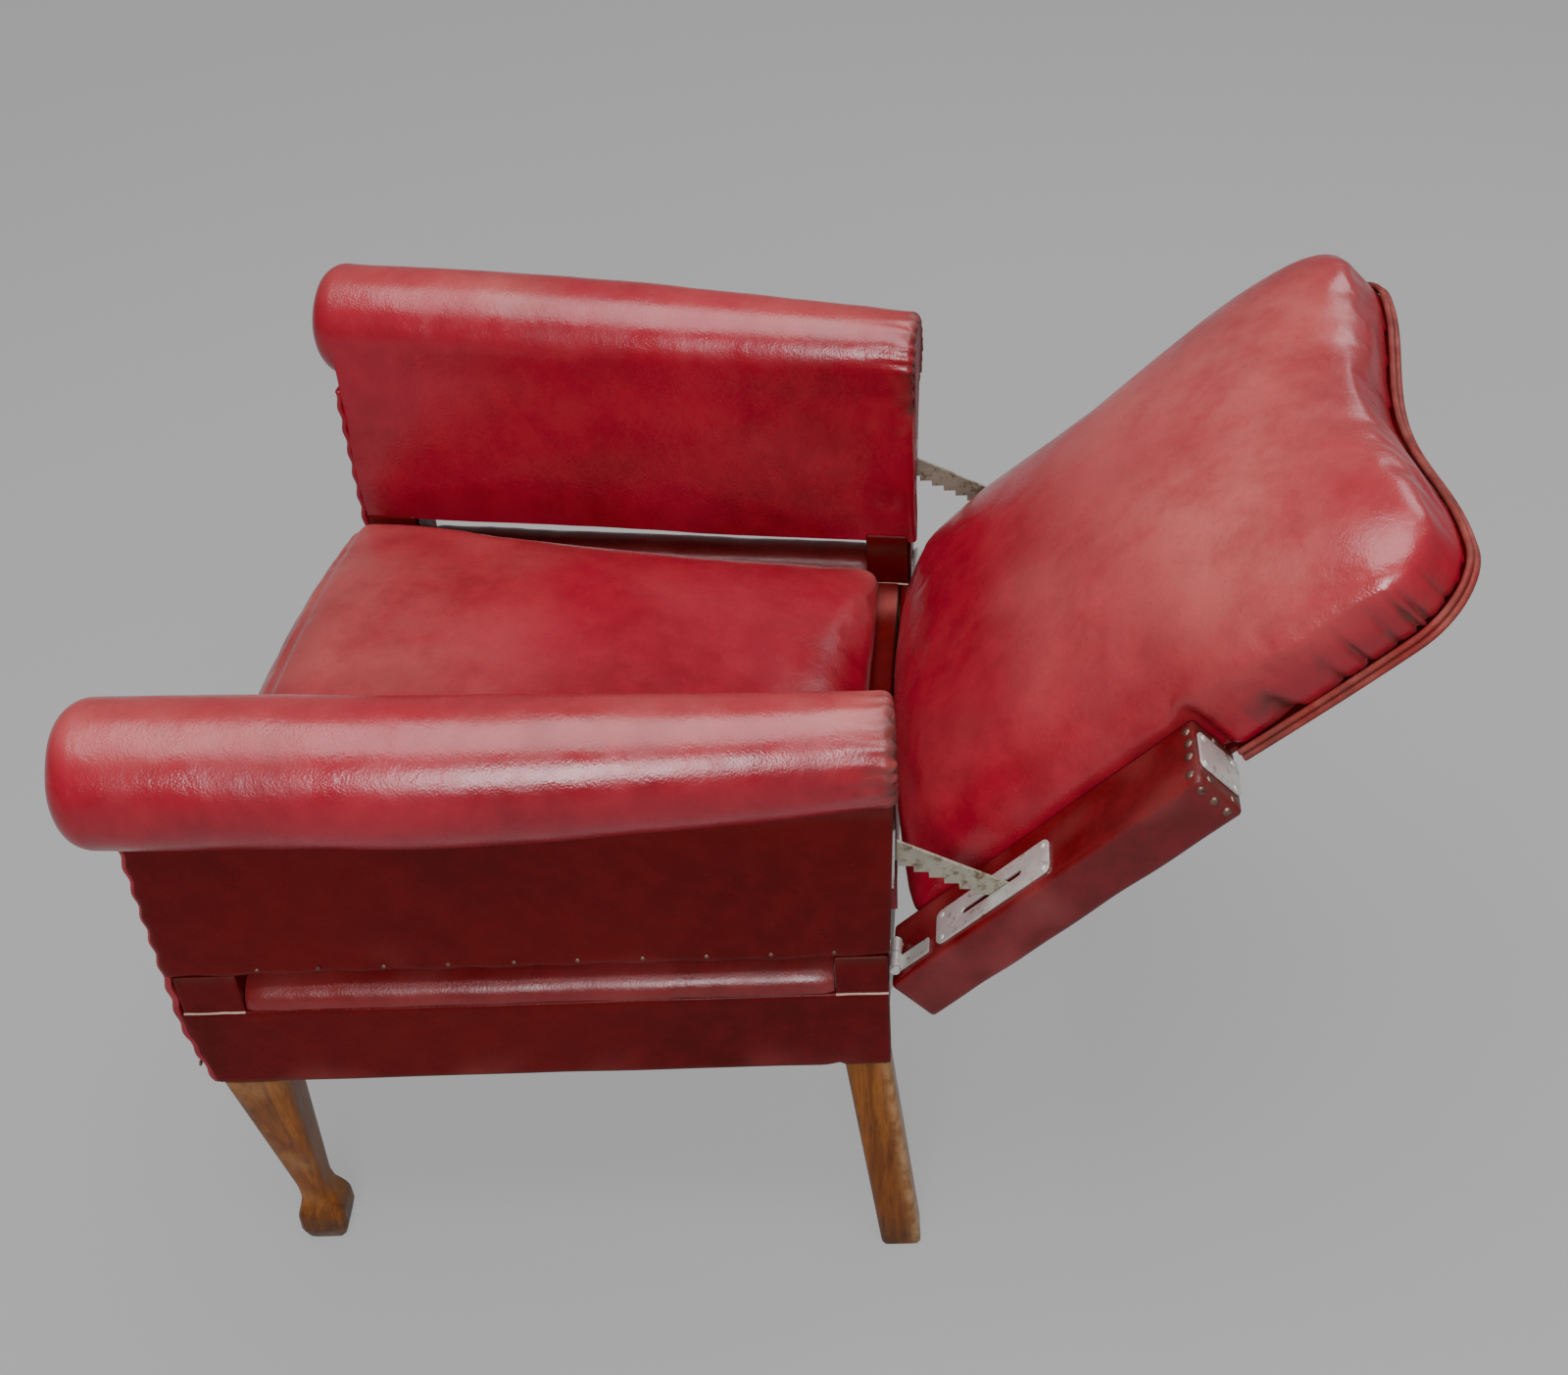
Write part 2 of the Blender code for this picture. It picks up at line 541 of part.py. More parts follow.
def ratchet_bar(side, s):
    """Flat bar with a rounded, drilled pivot end and saw teeth along its lower edge."""
    half = BAR_DEPTH / 2
    pivot = empty(f"ratchet_pivot_{side}", (s * BAR_X, BAR_PIVOT_IN, BAR_PIVOT_UP), (BAR_ANGLE, 0, 0), back)
    outline = [(half * math.sin(a), half * math.cos(a)) for a in (math.radians(20 * i) for i in range(10))]
    for i in range(TOOTH_COUNT):
        start = FIRST_TOOTH - i * TOOTH_PITCH
        root = TOOTH_DEPTH + 0.00004 * i  # a little deeper each time, so that no three corners lie in one line
        outline += [(start, -half), (start - 0.0030, root - half), (start - TOOTH_PITCH + 0.0015, 0.0010 - half)]
    outline += [(-BAR_LENGTH + 0.006, 0.003 - half), (-BAR_LENGTH, 0.0), (-BAR_LENGTH + 0.004, half)]
    bar = board(f"ratchet_bar_{side}", outline, BAR_THICK, BAR_STEEL, pivot, (0, 0, 0),
                (math.radians(90), 0, math.radians(90)))
    hole = rod(f"bar_hole_{side}", 0.0033, 0.0100, None, pivot, (0, 0, 0), 16)
    boolean(bar, hole)


ARMS = {side: arm_frame(side, s) for side, s in SIDES}
base_rails()
base_covers()
seat_webbing()
for row, y in (("front", -0.110), ("rear", 0.110)):
    for side, s in SIDES:
        seat_spring(f"seat_spring_{row}_{side}", s * 0.120, y, 0.2520, 0.3195)
seat_pad()
for side, s in SIDES:
    front_leg(side, s)
    rear_leg(side, s)
    arm_posts(side, s)
    arm_panels(side, s)
    arm_roll(side, s)
    catch_plate(side, s)
    hinge(side, s)
    slot_plate(side, s)
    end_plate(side, s)
    ratchet_bar(side, s)
back_posts()
back_frame()
back_cover()
back_pad()
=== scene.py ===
"""Looks of the recliner armchair: worn crimson leather over the frame, timber legs and steel fittings."""
import json
import math
from itertools import product

import bmesh
import bpy
import numpy as np
from mathutils import Matrix, Vector, noise


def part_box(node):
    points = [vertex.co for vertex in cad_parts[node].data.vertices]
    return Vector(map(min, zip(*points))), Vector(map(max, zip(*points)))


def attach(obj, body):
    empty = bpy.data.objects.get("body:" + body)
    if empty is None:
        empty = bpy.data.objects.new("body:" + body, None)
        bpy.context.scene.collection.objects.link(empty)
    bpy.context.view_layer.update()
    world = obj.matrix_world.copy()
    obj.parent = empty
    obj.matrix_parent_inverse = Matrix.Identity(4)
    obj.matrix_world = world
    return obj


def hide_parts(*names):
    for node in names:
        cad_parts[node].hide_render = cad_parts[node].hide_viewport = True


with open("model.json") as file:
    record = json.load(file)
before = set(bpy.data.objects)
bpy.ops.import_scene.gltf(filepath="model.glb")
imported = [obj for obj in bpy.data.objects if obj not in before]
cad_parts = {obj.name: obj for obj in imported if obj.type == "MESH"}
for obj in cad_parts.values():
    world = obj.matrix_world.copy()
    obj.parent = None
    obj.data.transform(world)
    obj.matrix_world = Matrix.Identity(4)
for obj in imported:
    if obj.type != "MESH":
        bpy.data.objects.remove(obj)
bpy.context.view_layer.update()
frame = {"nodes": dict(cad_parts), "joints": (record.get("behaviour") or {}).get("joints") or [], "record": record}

SIDES = (("left", 1), ("right", -1))

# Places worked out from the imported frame
HINGE = Vector(frame["joints"][0]["pos_m"])
RECLINE = math.radians(45.45)
SPLAY = math.radians(4.16)
RAKE = math.tan(math.radians(2.2))
MIDDLE_Y = (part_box("front_rail")[0].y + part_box("rear_rail")[1].y + 0.0070) / 2
ARM_LENGTH = 0.567
ARM_WIDTH = 0.055
ARM_INNER_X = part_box("inner_arm_pad_left")[0].x + 0.0002
ARM_REAR_Y = MIDDLE_Y + ARM_LENGTH / 2
LEG_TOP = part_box("base_side_cover_left")[0].z
COVER_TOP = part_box("base_side_cover_left")[1].z
ARM_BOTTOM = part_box("outer_arm_panel_left")[0].z
PANEL_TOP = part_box("outer_arm_panel_left")[1].z
ARM_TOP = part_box("arm_top_rail_left")[1].z
POST_FACE = 0.0055
POST_DEPTH = 0.0486
POST_INNER_X, POST_OUTER_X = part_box("back_post_left")[0].x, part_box("back_post_left")[1].x
POST_LOW, POST_HIGH = -0.011, 0.3057
BACK_HIGH = 0.524
FRONT_POST, REAR_POST = 0.0506, 0.0422
ROLL_CREST, ROLL_FALL = 0.6195, 0.0457  # an arm roll's crest at mid length, and its fall per metre rearwards
JOIN_ANGLE = math.radians(64)  # how far below level the roll's outer side meets the panel
NAIL_PITCH = 0.026  # down the front edges of the arms
PANEL_HIGH = PANEL_TOP + 0.008


def arm_point(s, x, y, z):
    """A point in an arm's frame: x outwards from its inner face, y rearwards from its rear edge, z up."""
    return Vector((s * (ARM_INNER_X + x * math.cos(SPLAY) - y * math.sin(SPLAY)),
                   ARM_REAR_Y + x * math.sin(SPLAY) + y * math.cos(SPLAY), z))


def back_point(x, y, z):
    """A point in the reclined back's frame: y rearwards from the hinge axis, z up along the posts."""
    return Vector((x, HINGE.y + y * math.cos(RECLINE) + z * math.sin(RECLINE),
                   HINGE.z - y * math.sin(RECLINE) + z * math.cos(RECLINE)))


# Mesh helpers
def shown(name, bm, sharp=None):
    """A smooth object of the mesh, with its edges above the sharp angle in degrees kept hard."""
    mesh = bpy.data.meshes.new(name)
    bm.to_mesh(mesh)
    bm.free()
    mesh.shade_smooth()
    if sharp:
        mesh.set_sharp_from_angle(angle=math.radians(sharp))
    piece = bpy.data.objects.new(name, mesh)
    bpy.context.scene.collection.objects.link(piece)
    return piece


def finish_mesh(name, bm, sharp=None):
    """The same with its faces turned outwards."""
    bmesh.ops.recalc_face_normals(bm, faces=bm.faces)
    return shown(name, bm, sharp)


def loft(name, rings, sharp=None):
    """A closed skin through rings with the same number of points, capped at both ends."""
    bm = bmesh.new()
    rows = [[bm.verts.new(point) for point in ring] for ring in rings]
    count = len(rings[0])
    for near, far in zip(rows, rows[1:]):
        for i in range(count):
            j = (i + 1) % count
            bm.faces.new((near[i], near[j], far[j], far[i]))
    for row in (rows[0][::-1], rows[-1]):
        cap = bm.faces.new(row)
        bmesh.ops.triangulate(bm, faces=[cap])
    return finish_mesh(name, bm, sharp)


def rounded_box(name, low, high, radius, cuts, place):
    """A box with round edges, cut finely enough to bend, whose points are then put where place() says."""
    low, high = Vector(low), Vector(high)
    middle, half = (low + high) / 2, (high - low) / 2
    bm = bmesh.new()
    crowding = 0.35  # how far the cuts gather towards the edges
    lines = []
    for n in cuts:
        even = [2 * i / n - 1 for i in range(n + 1)]
        lines.append([math.sin(math.pi / 2 * t) * crowding + t * (1 - crowding) for t in even])
    corner = {}

    def vert(i, j, k):
        if (i, j, k) not in corner:
            p = Vector((lines[0][i] * half.x, lines[1][j] * half.y, lines[2][k] * half.z))
            q = Vector([max(-(h - radius), min(h - radius, c)) for c, h in zip(p, half)])
            d = p - q
            if d.length > 1e-9:
                p = q + d * (radius / d.length)
            corner[i, j, k] = bm.verts.new(place(*(middle + p)))
        return corner[i, j, k]

    for axis in (2, 1, 0):
        one, other = (k for k in range(3) if k != axis)
        for i, j, end in product(range(cuts[one]), range(cuts[other]), (0, cuts[axis])):
            face = []
            for right, up in ((0, 0), (1, 0), (1, 1), (0, 1)):
                at = [end, end, end]
                at[one], at[other] = i + right, j + up
                face.append(vert(*at))
            bm.faces.new(face)
    return finish_mesh(name, bm)


def baked(piece):
    """A new mesh of the object as its modifiers or its curve settings make it."""
    bpy.context.view_layer.update()
    return bpy.data.meshes.new_from_object(piece.evaluated_get(bpy.context.evaluated_depsgraph_get()))


def apply_modifiers(piece):
    """Makes its modifiers part of its mesh."""
    mesh = baked(piece)
    piece.modifiers.clear()
    piece.data = mesh
    mesh.shade_smooth()


def from_curve(name, curve, loops, closed, sharp):
    """The solid that the curve's settings make along these loops of points."""
    for loop in loops:
        spline = curve.splines.new("POLY")
        spline.points.add(len(loop) - 1)
        for point, place in zip(spline.points, loop):
            point.co = (*place, 1)
        spline.use_cyclic_u = closed
    drawn = bpy.data.objects.new(name, curve)
    bpy.context.scene.collection.objects.link(drawn)
    mesh = baked(drawn)
    bpy.data.objects.remove(drawn, do_unlink=True)
    bm = bmesh.new()
    bm.from_mesh(mesh)
    bmesh.ops.remove_doubles(bm, verts=bm.verts, dist=0.00002)
    return finish_mesh(name, bm, sharp)


def tube(name, points, radius):
    """A round bead along a smooth path."""
    curve = bpy.data.curves.new(name, "CURVE")
    curve.dimensions = "3D"
    curve.bevel_depth = radius
    curve.bevel_resolution = 3
    curve.use_fill_caps = True
    return from_curve(name, curve, [points], False, 60)


def joined(name, pieces, sharp=None):
    """Several loose meshes as one smooth piece."""
    bpy.context.view_layer.update()
    bm = bmesh.new()
    for piece in pieces:
        part = piece.data
        part.transform(piece.matrix_world)
        bm.from_mesh(part)
        bpy.data.objects.remove(piece, do_unlink=True)
    return shown(name, bm, sharp)


def coordinates(piece):
    """The places of its vertices as rows of an array."""
    found = np.empty(len(piece.data.vertices) * 3, np.float64)
    piece.data.vertices.foreach_get("co", found)
    return found.reshape(-1, 3)


def set_coordinates(piece, points):
    """Moves its vertices to these rows."""
    piece.data.vertices.foreach_set("co", np.asarray(points, np.float32).ravel())
    piece.data.update()


def displaced(piece, change):
    """Moves each vertex along its normal by change(point), in metres."""
    points = coordinates(piece)
    normals = np.empty(len(points) * 3, np.float64)
    piece.data.vertices.foreach_get("normal", normals)
    steps = np.array([change(Vector(p)) for p in points])
    set_coordinates(piece, points + normals.reshape(-1, 3) * steps[:, None])


def painted(piece, wear_and_sheen=None, grime_and_shade=None):
    """Gives each vertex its wear and its grime from 0 to 1, which the materials read: pale wear that is also
    painted sheen, dark grime that is also painted shade.
    """
    for name, value in (("wear_and_sheen", wear_and_sheen), ("grime_and_shade", grime_and_shade)):
        if value:
            layer = piece.data.attributes.new(name, "FLOAT", "POINT")
            layer.data.foreach_set("value", [min(1.0, max(0.0, value(v.co))) for v in piece.data.vertices])


def finer(piece):
    """One Catmull-Clark subdivision, applied."""
    modifier = piece.modifiers.new("finer", "SUBSURF")
    modifier.levels = modifier.render_levels = 1
    apply_modifiers(piece)


def inflated(piece, voxel, pressure, cap, held):
    """Leather over stuffing: remeshed, then blown up as cloth by up to cap, but for the points in held()."""
    remesh = piece.modifiers.new("remesh", "REMESH")
    remesh.mode = "VOXEL"
    remesh.voxel_size = voxel
    apply_modifiers(piece)
    start = coordinates(piece)
    group = piece.vertex_groups.new(name="held")
    group.add([i for i, p in enumerate(start) if held(p)], 1.0, "REPLACE")
    cloth = piece.modifiers.new("cloth", "CLOTH")
    settings = cloth.settings
    settings.quality = 5
    settings.mass = 0.4
    settings.tension_stiffness = settings.compression_stiffness = 25
    settings.shear_stiffness = 15
    settings.bending_stiffness = 4
    settings.use_pressure = True
    settings.uniform_pressure_force = pressure
    settings.vertex_group_mass = "held"
    settings.effector_weights.gravity = 0
    cloth.collision_settings.use_collision = cloth.collision_settings.use_self_collision = False
    last = 20
    cloth.point_cache.frame_start, cloth.point_cache.frame_end = 1, last
    scene = bpy.context.scene
    for step in range(1, last + 1):
        scene.frame_set(step)
    blown = baked(piece)
    moved = np.empty(len(blown.vertices) * 3, np.float64)
    blown.vertices.foreach_get("co", moved)
    bpy.data.meshes.remove(blown)
    piece.modifiers.clear()
    scene.frame_set(1)
    step = moved.reshape(-1, 3) - start
    far = np.linalg.norm(step, axis=1, keepdims=True)
    step *= np.minimum(1.0, cap / np.maximum(far, 1e-9))
    set_coordinates(piece, start + step)


def settle(piece, body, material, replaces=()):
    """Gives a piece its finish, hangs it on its body and hides the CAD parts it replaces."""
    piece.data.materials.clear()
    piece.data.materials.append(material)
    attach(piece, body)
    if replaces:
        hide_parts(*replaces)


# Materials
class Nodes:
    """A Principled material with short calls for the nodes that these finishes use."""

    def __init__(self, name):
        self.material = bpy.data.materials.new(name)
        self.material.use_nodes = True
        self.tree = self.material.node_tree
        self.shader = self.tree.nodes["Principled BSDF"]
        self.coordinates = self.node("TexCoord", "Object", {})

    def feed(self, socket, given):
        """Links another node's output to an input, or sets the input's value."""
        if isinstance(given, bpy.types.NodeSocket):
            self.tree.links.new(given, socket)
        else:
            socket.default_value = given

    def surface(self, socket, given):
        self.feed(self.shader.inputs[socket], given)

    def node(self, kind, output, inputs, **settings):
        """That output of a new shader node."""
        made = self.tree.nodes.new("ShaderNode" + kind)
        for setting, value in settings.items():
            setattr(made, setting, value)
        for socket, given in inputs.items():
            self.feed(made.inputs[socket], given)
        return made.outputs[output]

    def stretched(self, scale):
        return self.node("Mapping", "Vector", {"Scale": scale, "Vector": self.coordinates})

    def noise(self, scale, detail=3.0, rough=0.5, source=None, distortion=0.0):
        return self.node("TexNoise", "Fac", {"Scale": scale, "Detail": detail, "Roughness": rough,
                                             "Distortion": distortion, "Vector": source or self.coordinates})

    def pebbles(self, scale):
        return self.node("TexVoronoi", "Distance", {"Scale": scale, "Vector": self.coordinates},
                         feature="SMOOTH_F1")

    def patchy(self, name, patches):
        """A painted value, broken up into patches."""
        return self.math("MULTIPLY", self.node("Attribute", "Fac", {}, attribute_name=name), patches, True)

    def math(self, operation, a, b, clamp=False):
        return self.node("Math", 0, {0: a, 1: b}, operation=operation, use_clamp=clamp)

    def ranged(self, source, low, high, out_low=0.0, out_high=1.0):
        return self.node("MapRange", 0, {0: source, 1: low, 2: high, 3: out_low, 4: out_high},
                         interpolation_type="SMOOTHSTEP")

    def mix(self, amount, a, b):
        a, b = ((*colour, 1.0) if isinstance(colour, tuple) else colour for colour in (a, b))
        return self.node("Mix", 2, {0: amount, 6: a, 7: b}, data_type="RGBA")

    def bump(self, height, distance, strength=1.0, under=None):
        inputs = {"Distance": distance, "Strength": strength, "Height": height}
        if under:
            inputs["Normal"] = under
        return self.node("Bump", "Normal", inputs)


def leather(name, deep, red, bright, roughness, shine):
    """Old polished hide: mottled colour, a fine grain, rubbed pale patches and dark creases where painted; the
    pale also serves as painted sheen and the dark as painted shade.
    """
    n = Nodes(name)
    cloud = n.ranged(n.noise(5.0, 4.0, 0.55), 0.35, 0.68)
    mottle = n.ranged(n.noise(38.0, 5.0, 0.6), 0.35, 0.70)
    colour = n.mix(cloud, deep, red)
    colour = n.mix(n.math("MULTIPLY", mottle, 0.45), colour, bright)
    rubbed_and_sheen = n.patchy("wear_and_sheen", n.ranged(n.noise(14.0, 6.0, 0.65), 0.25, 0.65, 0.45, 1.0))
    # The pale rubbed colour: wear, and on the rail rolls a painted sheen.
    colour = n.mix(rubbed_and_sheen, colour, (0.43, 0.105, 0.095))
    speck = n.ranged(n.noise(240.0, 3.0, 0.6), 0.60, 0.72)
    colour = n.mix(n.math("MULTIPLY", speck, 0.22), colour, (0.10, 0.008, 0.010))
    dirt_and_shade = n.patchy("grime_and_shade", n.ranged(n.noise(90.0, 6.0, 0.7), 0.30, 0.60, 0.35, 1.0))
    # The dark brown: dirt, and painted shade in seams, creases and corners.
    colour = n.mix(dirt_and_shade, colour, (0.050, 0.022, 0.016))
    n.surface("Base Color", colour)
    rough = n.ranged(n.noise(22.0, 5.0, 0.6), 0.3, 0.7, roughness - 0.05, roughness + 0.10)
    rough = n.math("ADD", rough, n.math("MULTIPLY", rubbed_and_sheen, 0.16), True)
    rough = n.math("ADD", rough, n.math("MULTIPLY", dirt_and_shade, 0.30), True)
    n.surface("Roughness", rough)
    grain = n.bump(n.pebbles(620.0), 0.00022, 0.5)
    creases = n.bump(n.noise(75.0, 6.0, 0.65, distortion=0.6), 0.0011, 0.35, grain)
    n.surface("Normal", n.bump(n.noise(16.0, 2.0, 0.5), 0.004, 0.30, creases))
    n.surface("Specular IOR Level", shine)
    n.surface("Specular Tint", (1.0, 0.86, 0.90, 1.0))
    return n.material


def timber(name, dark, light, roughness):
    """Wood with its grain along Z."""
    n = Nodes(name)
    long_grain = n.stretched((1.0, 1.0, 0.07))
    rings = n.noise(60.0, 6.0, 0.6, long_grain, 1.2)
    pores = n.noise(520.0, 3.0, 0.6, long_grain)
    colour = n.mix(n.ranged(rings, 0.32, 0.68), dark, light)
    colour = n.mix(n.ranged(pores, 0.52, 0.72, 0.0, 0.55), colour, tuple(c * 0.35 for c in dark))
    dirt_and_shade = n.patchy("grime_and_shade", n.ranged(n.noise(55.0, 6.0, 0.7), 0.32, 0.58, 0.25, 1.0))
    colour = n.mix(dirt_and_shade, colour, (0.030, 0.016, 0.010))
    pale = n.patchy("wear_and_sheen", n.ranged(n.noise(70.0, 4.0, 0.6), 0.35, 0.65, 0.3, 1.0))
    colour = n.mix(pale, colour, (0.52, 0.33, 0.16))
    n.surface("Base Color", colour)
    n.surface("Roughness", n.ranged(rings, 0.3, 0.7, roughness - 0.06, roughness + 0.12))
    n.surface("Specular IOR Level", 0.25)
    n.surface("Normal", n.bump(pores, 0.0005, 0.35, n.bump(rings, 0.0008, 0.2)))
    return n.material


def steel(name, colour, spot, roughness, metallic, spots=0.62):
    """Plated or bare steel with a brushed grain, stains and pitting."""
    n = Nodes(name)
    stain = n.ranged(n.noise(110.0, 6.0, 0.7), spots - 0.08, spots + 0.08)
    cloud = n.ranged(n.noise(45.0, 4.0, 0.6), 0.3, 0.7, 0.0, 0.6)
    tint = n.mix(cloud, colour, tuple(c * 0.72 for c in colour))
    n.surface("Base Color", n.mix(stain, tint, spot))
    n.surface("Roughness", n.math("ADD", n.math("MULTIPLY", stain, 0.25), roughness, True))
    n.surface("Metallic", metallic)
    scratches = n.noise(900.0, 2.0, 0.5, n.stretched((1.0, 0.12, 0.12)))
    n.surface("Normal", n.bump(stain, 0.0003, 0.4, n.bump(scratches, 0.0001, 0.3)))
    return n.material


def woven(name, light, dark):
    """Coarse jute weave."""
    n = Nodes(name)
    weave = n.node("TexChecker", "Fac", {"Scale": 420.0, "Vector": n.coordinates})
    fuzz = n.noise(260.0, 4.0, 0.6)
    n.surface("Base Color", n.mix(n.math("MULTIPLY", fuzz, weave), dark, light))
    n.surface("Roughness", 0.9)
    n.surface("Normal", n.bump(fuzz, 0.0006, 0.6))
    return n.material


CRIMSON = leather("crimson_leather", (0.170, 0.0030, 0.0100), (0.245, 0.0050, 0.0170),
                  (0.290, 0.0100, 0.0200), 0.23, 0.55)
# SHADED is a darker copy of the crimson leather: painted shade for the outer panels, wraps, base covers, outside
# back and arm posts, faces the lamps leave dim.
SHADED = leather("painted_shade_leather", (0.060, 0.0005, 0.0006), (0.085, 0.0008, 0.0009),
                 (0.115, 0.0020, 0.0024), 0.33, 0.14)
# A copy between the crimson and the shaded leather: painted half shade for the back posts and the rail rolls.
HALF_SHADED = leather("post_leather", (0.075, 0.0010, 0.0020), (0.110, 0.0018, 0.0036),
               (0.150, 0.0050, 0.0070), 0.27, 0.45)
PIPING = leather("piping_leather", (0.120, 0.0090, 0.0090), (0.200, 0.0180, 0.0160),
                 (0.330, 0.0900, 0.0700), 0.45, 0.2)
EDGE = leather("raw_edge_leather", (0.380, 0.220, 0.170), (0.520, 0.360, 0.300),
               (0.600, 0.460, 0.400), 0.6, 0.4)
LEG_WOOD = timber("leg_wood", (0.105, 0.026, 0.003), (0.225, 0.072, 0.010), 0.36)
FRAME_WOOD = timber("frame_wood", (0.330, 0.190, 0.085), (0.480, 0.310, 0.160), 0.65)
PLATE = steel("plate_steel", (0.70, 0.69, 0.66), (0.24, 0.15, 0.09), 0.42, 0.70)
BAR = steel("bar_steel", (0.36, 0.34, 0.27), (0.15, 0.11, 0.07), 0.48, 0.65, 0.56)
NAIL = steel("nail_steel", (0.23, 0.13, 0.10), (0.07, 0.04, 0.03), 0.38, 0.85, 0.56)
SPRING = steel("spring_steel", (0.40, 0.38, 0.35), (0.18, 0.10, 0.05), 0.45, 0.90)
JUTE = woven("jute_webbing", (0.42, 0.31, 0.18), (0.20, 0.14, 0.08))


def soft_noise(point, size, seed=0.0):
    """Smooth noise from -1 to 1 with features of that size in metres."""
    return noise.noise(Vector(point) / size + Vector((seed, 3.1 * seed, 7.7 * seed)))


def blotch(point, size, seed):
    """The same noise with 0 for all that is below 0."""
    return max(0.0, soft_noise(point, size, seed))


def bump_at(value, middle, width):
    """A smooth peak of 1 at the middle."""
    return math.exp(-((value - middle) / width) ** 2)


# Arms
def roll_size(y):
    """Half width, half height and middle (x, z) of the arm's roll at y in the arm's frame."""
    along = min(max(-y / ARM_LENGTH, 0.0), 1.0)
    slim = max(0.0, 1 - along / 0.62) ** 1.6
    crest = ROLL_CREST - ROLL_FALL * (y + ARM_LENGTH / 2) - 0.004 * slim
    tall = 0.0555 - 0.0130 * slim
    wide = 0.0575 - 0.0150 * slim - 0.0020 * (1 - along)
    return wide, tall, wide - 0.0010, crest - tall


def roll_join(y):
    """Height at which the roll's outer side meets the panel."""
    _, tall, _, middle_z = roll_size(y)
    return middle_z - tall * math.sin(JOIN_ANGLE)


def scallops(z):
    """A wave down the front edges of the arm that keeps step with their nails."""
    return math.cos((z - ARM_BOTTOM) * 2 * math.pi / NAIL_PITCH)


def toe(z):
    """How far the leather at the arm's front is set back at height z: most of all at its foot."""
    return 0.013 * max(0.0, 1 - (z - LEG_TOP) / 0.075) ** 1.3 - 0.0050


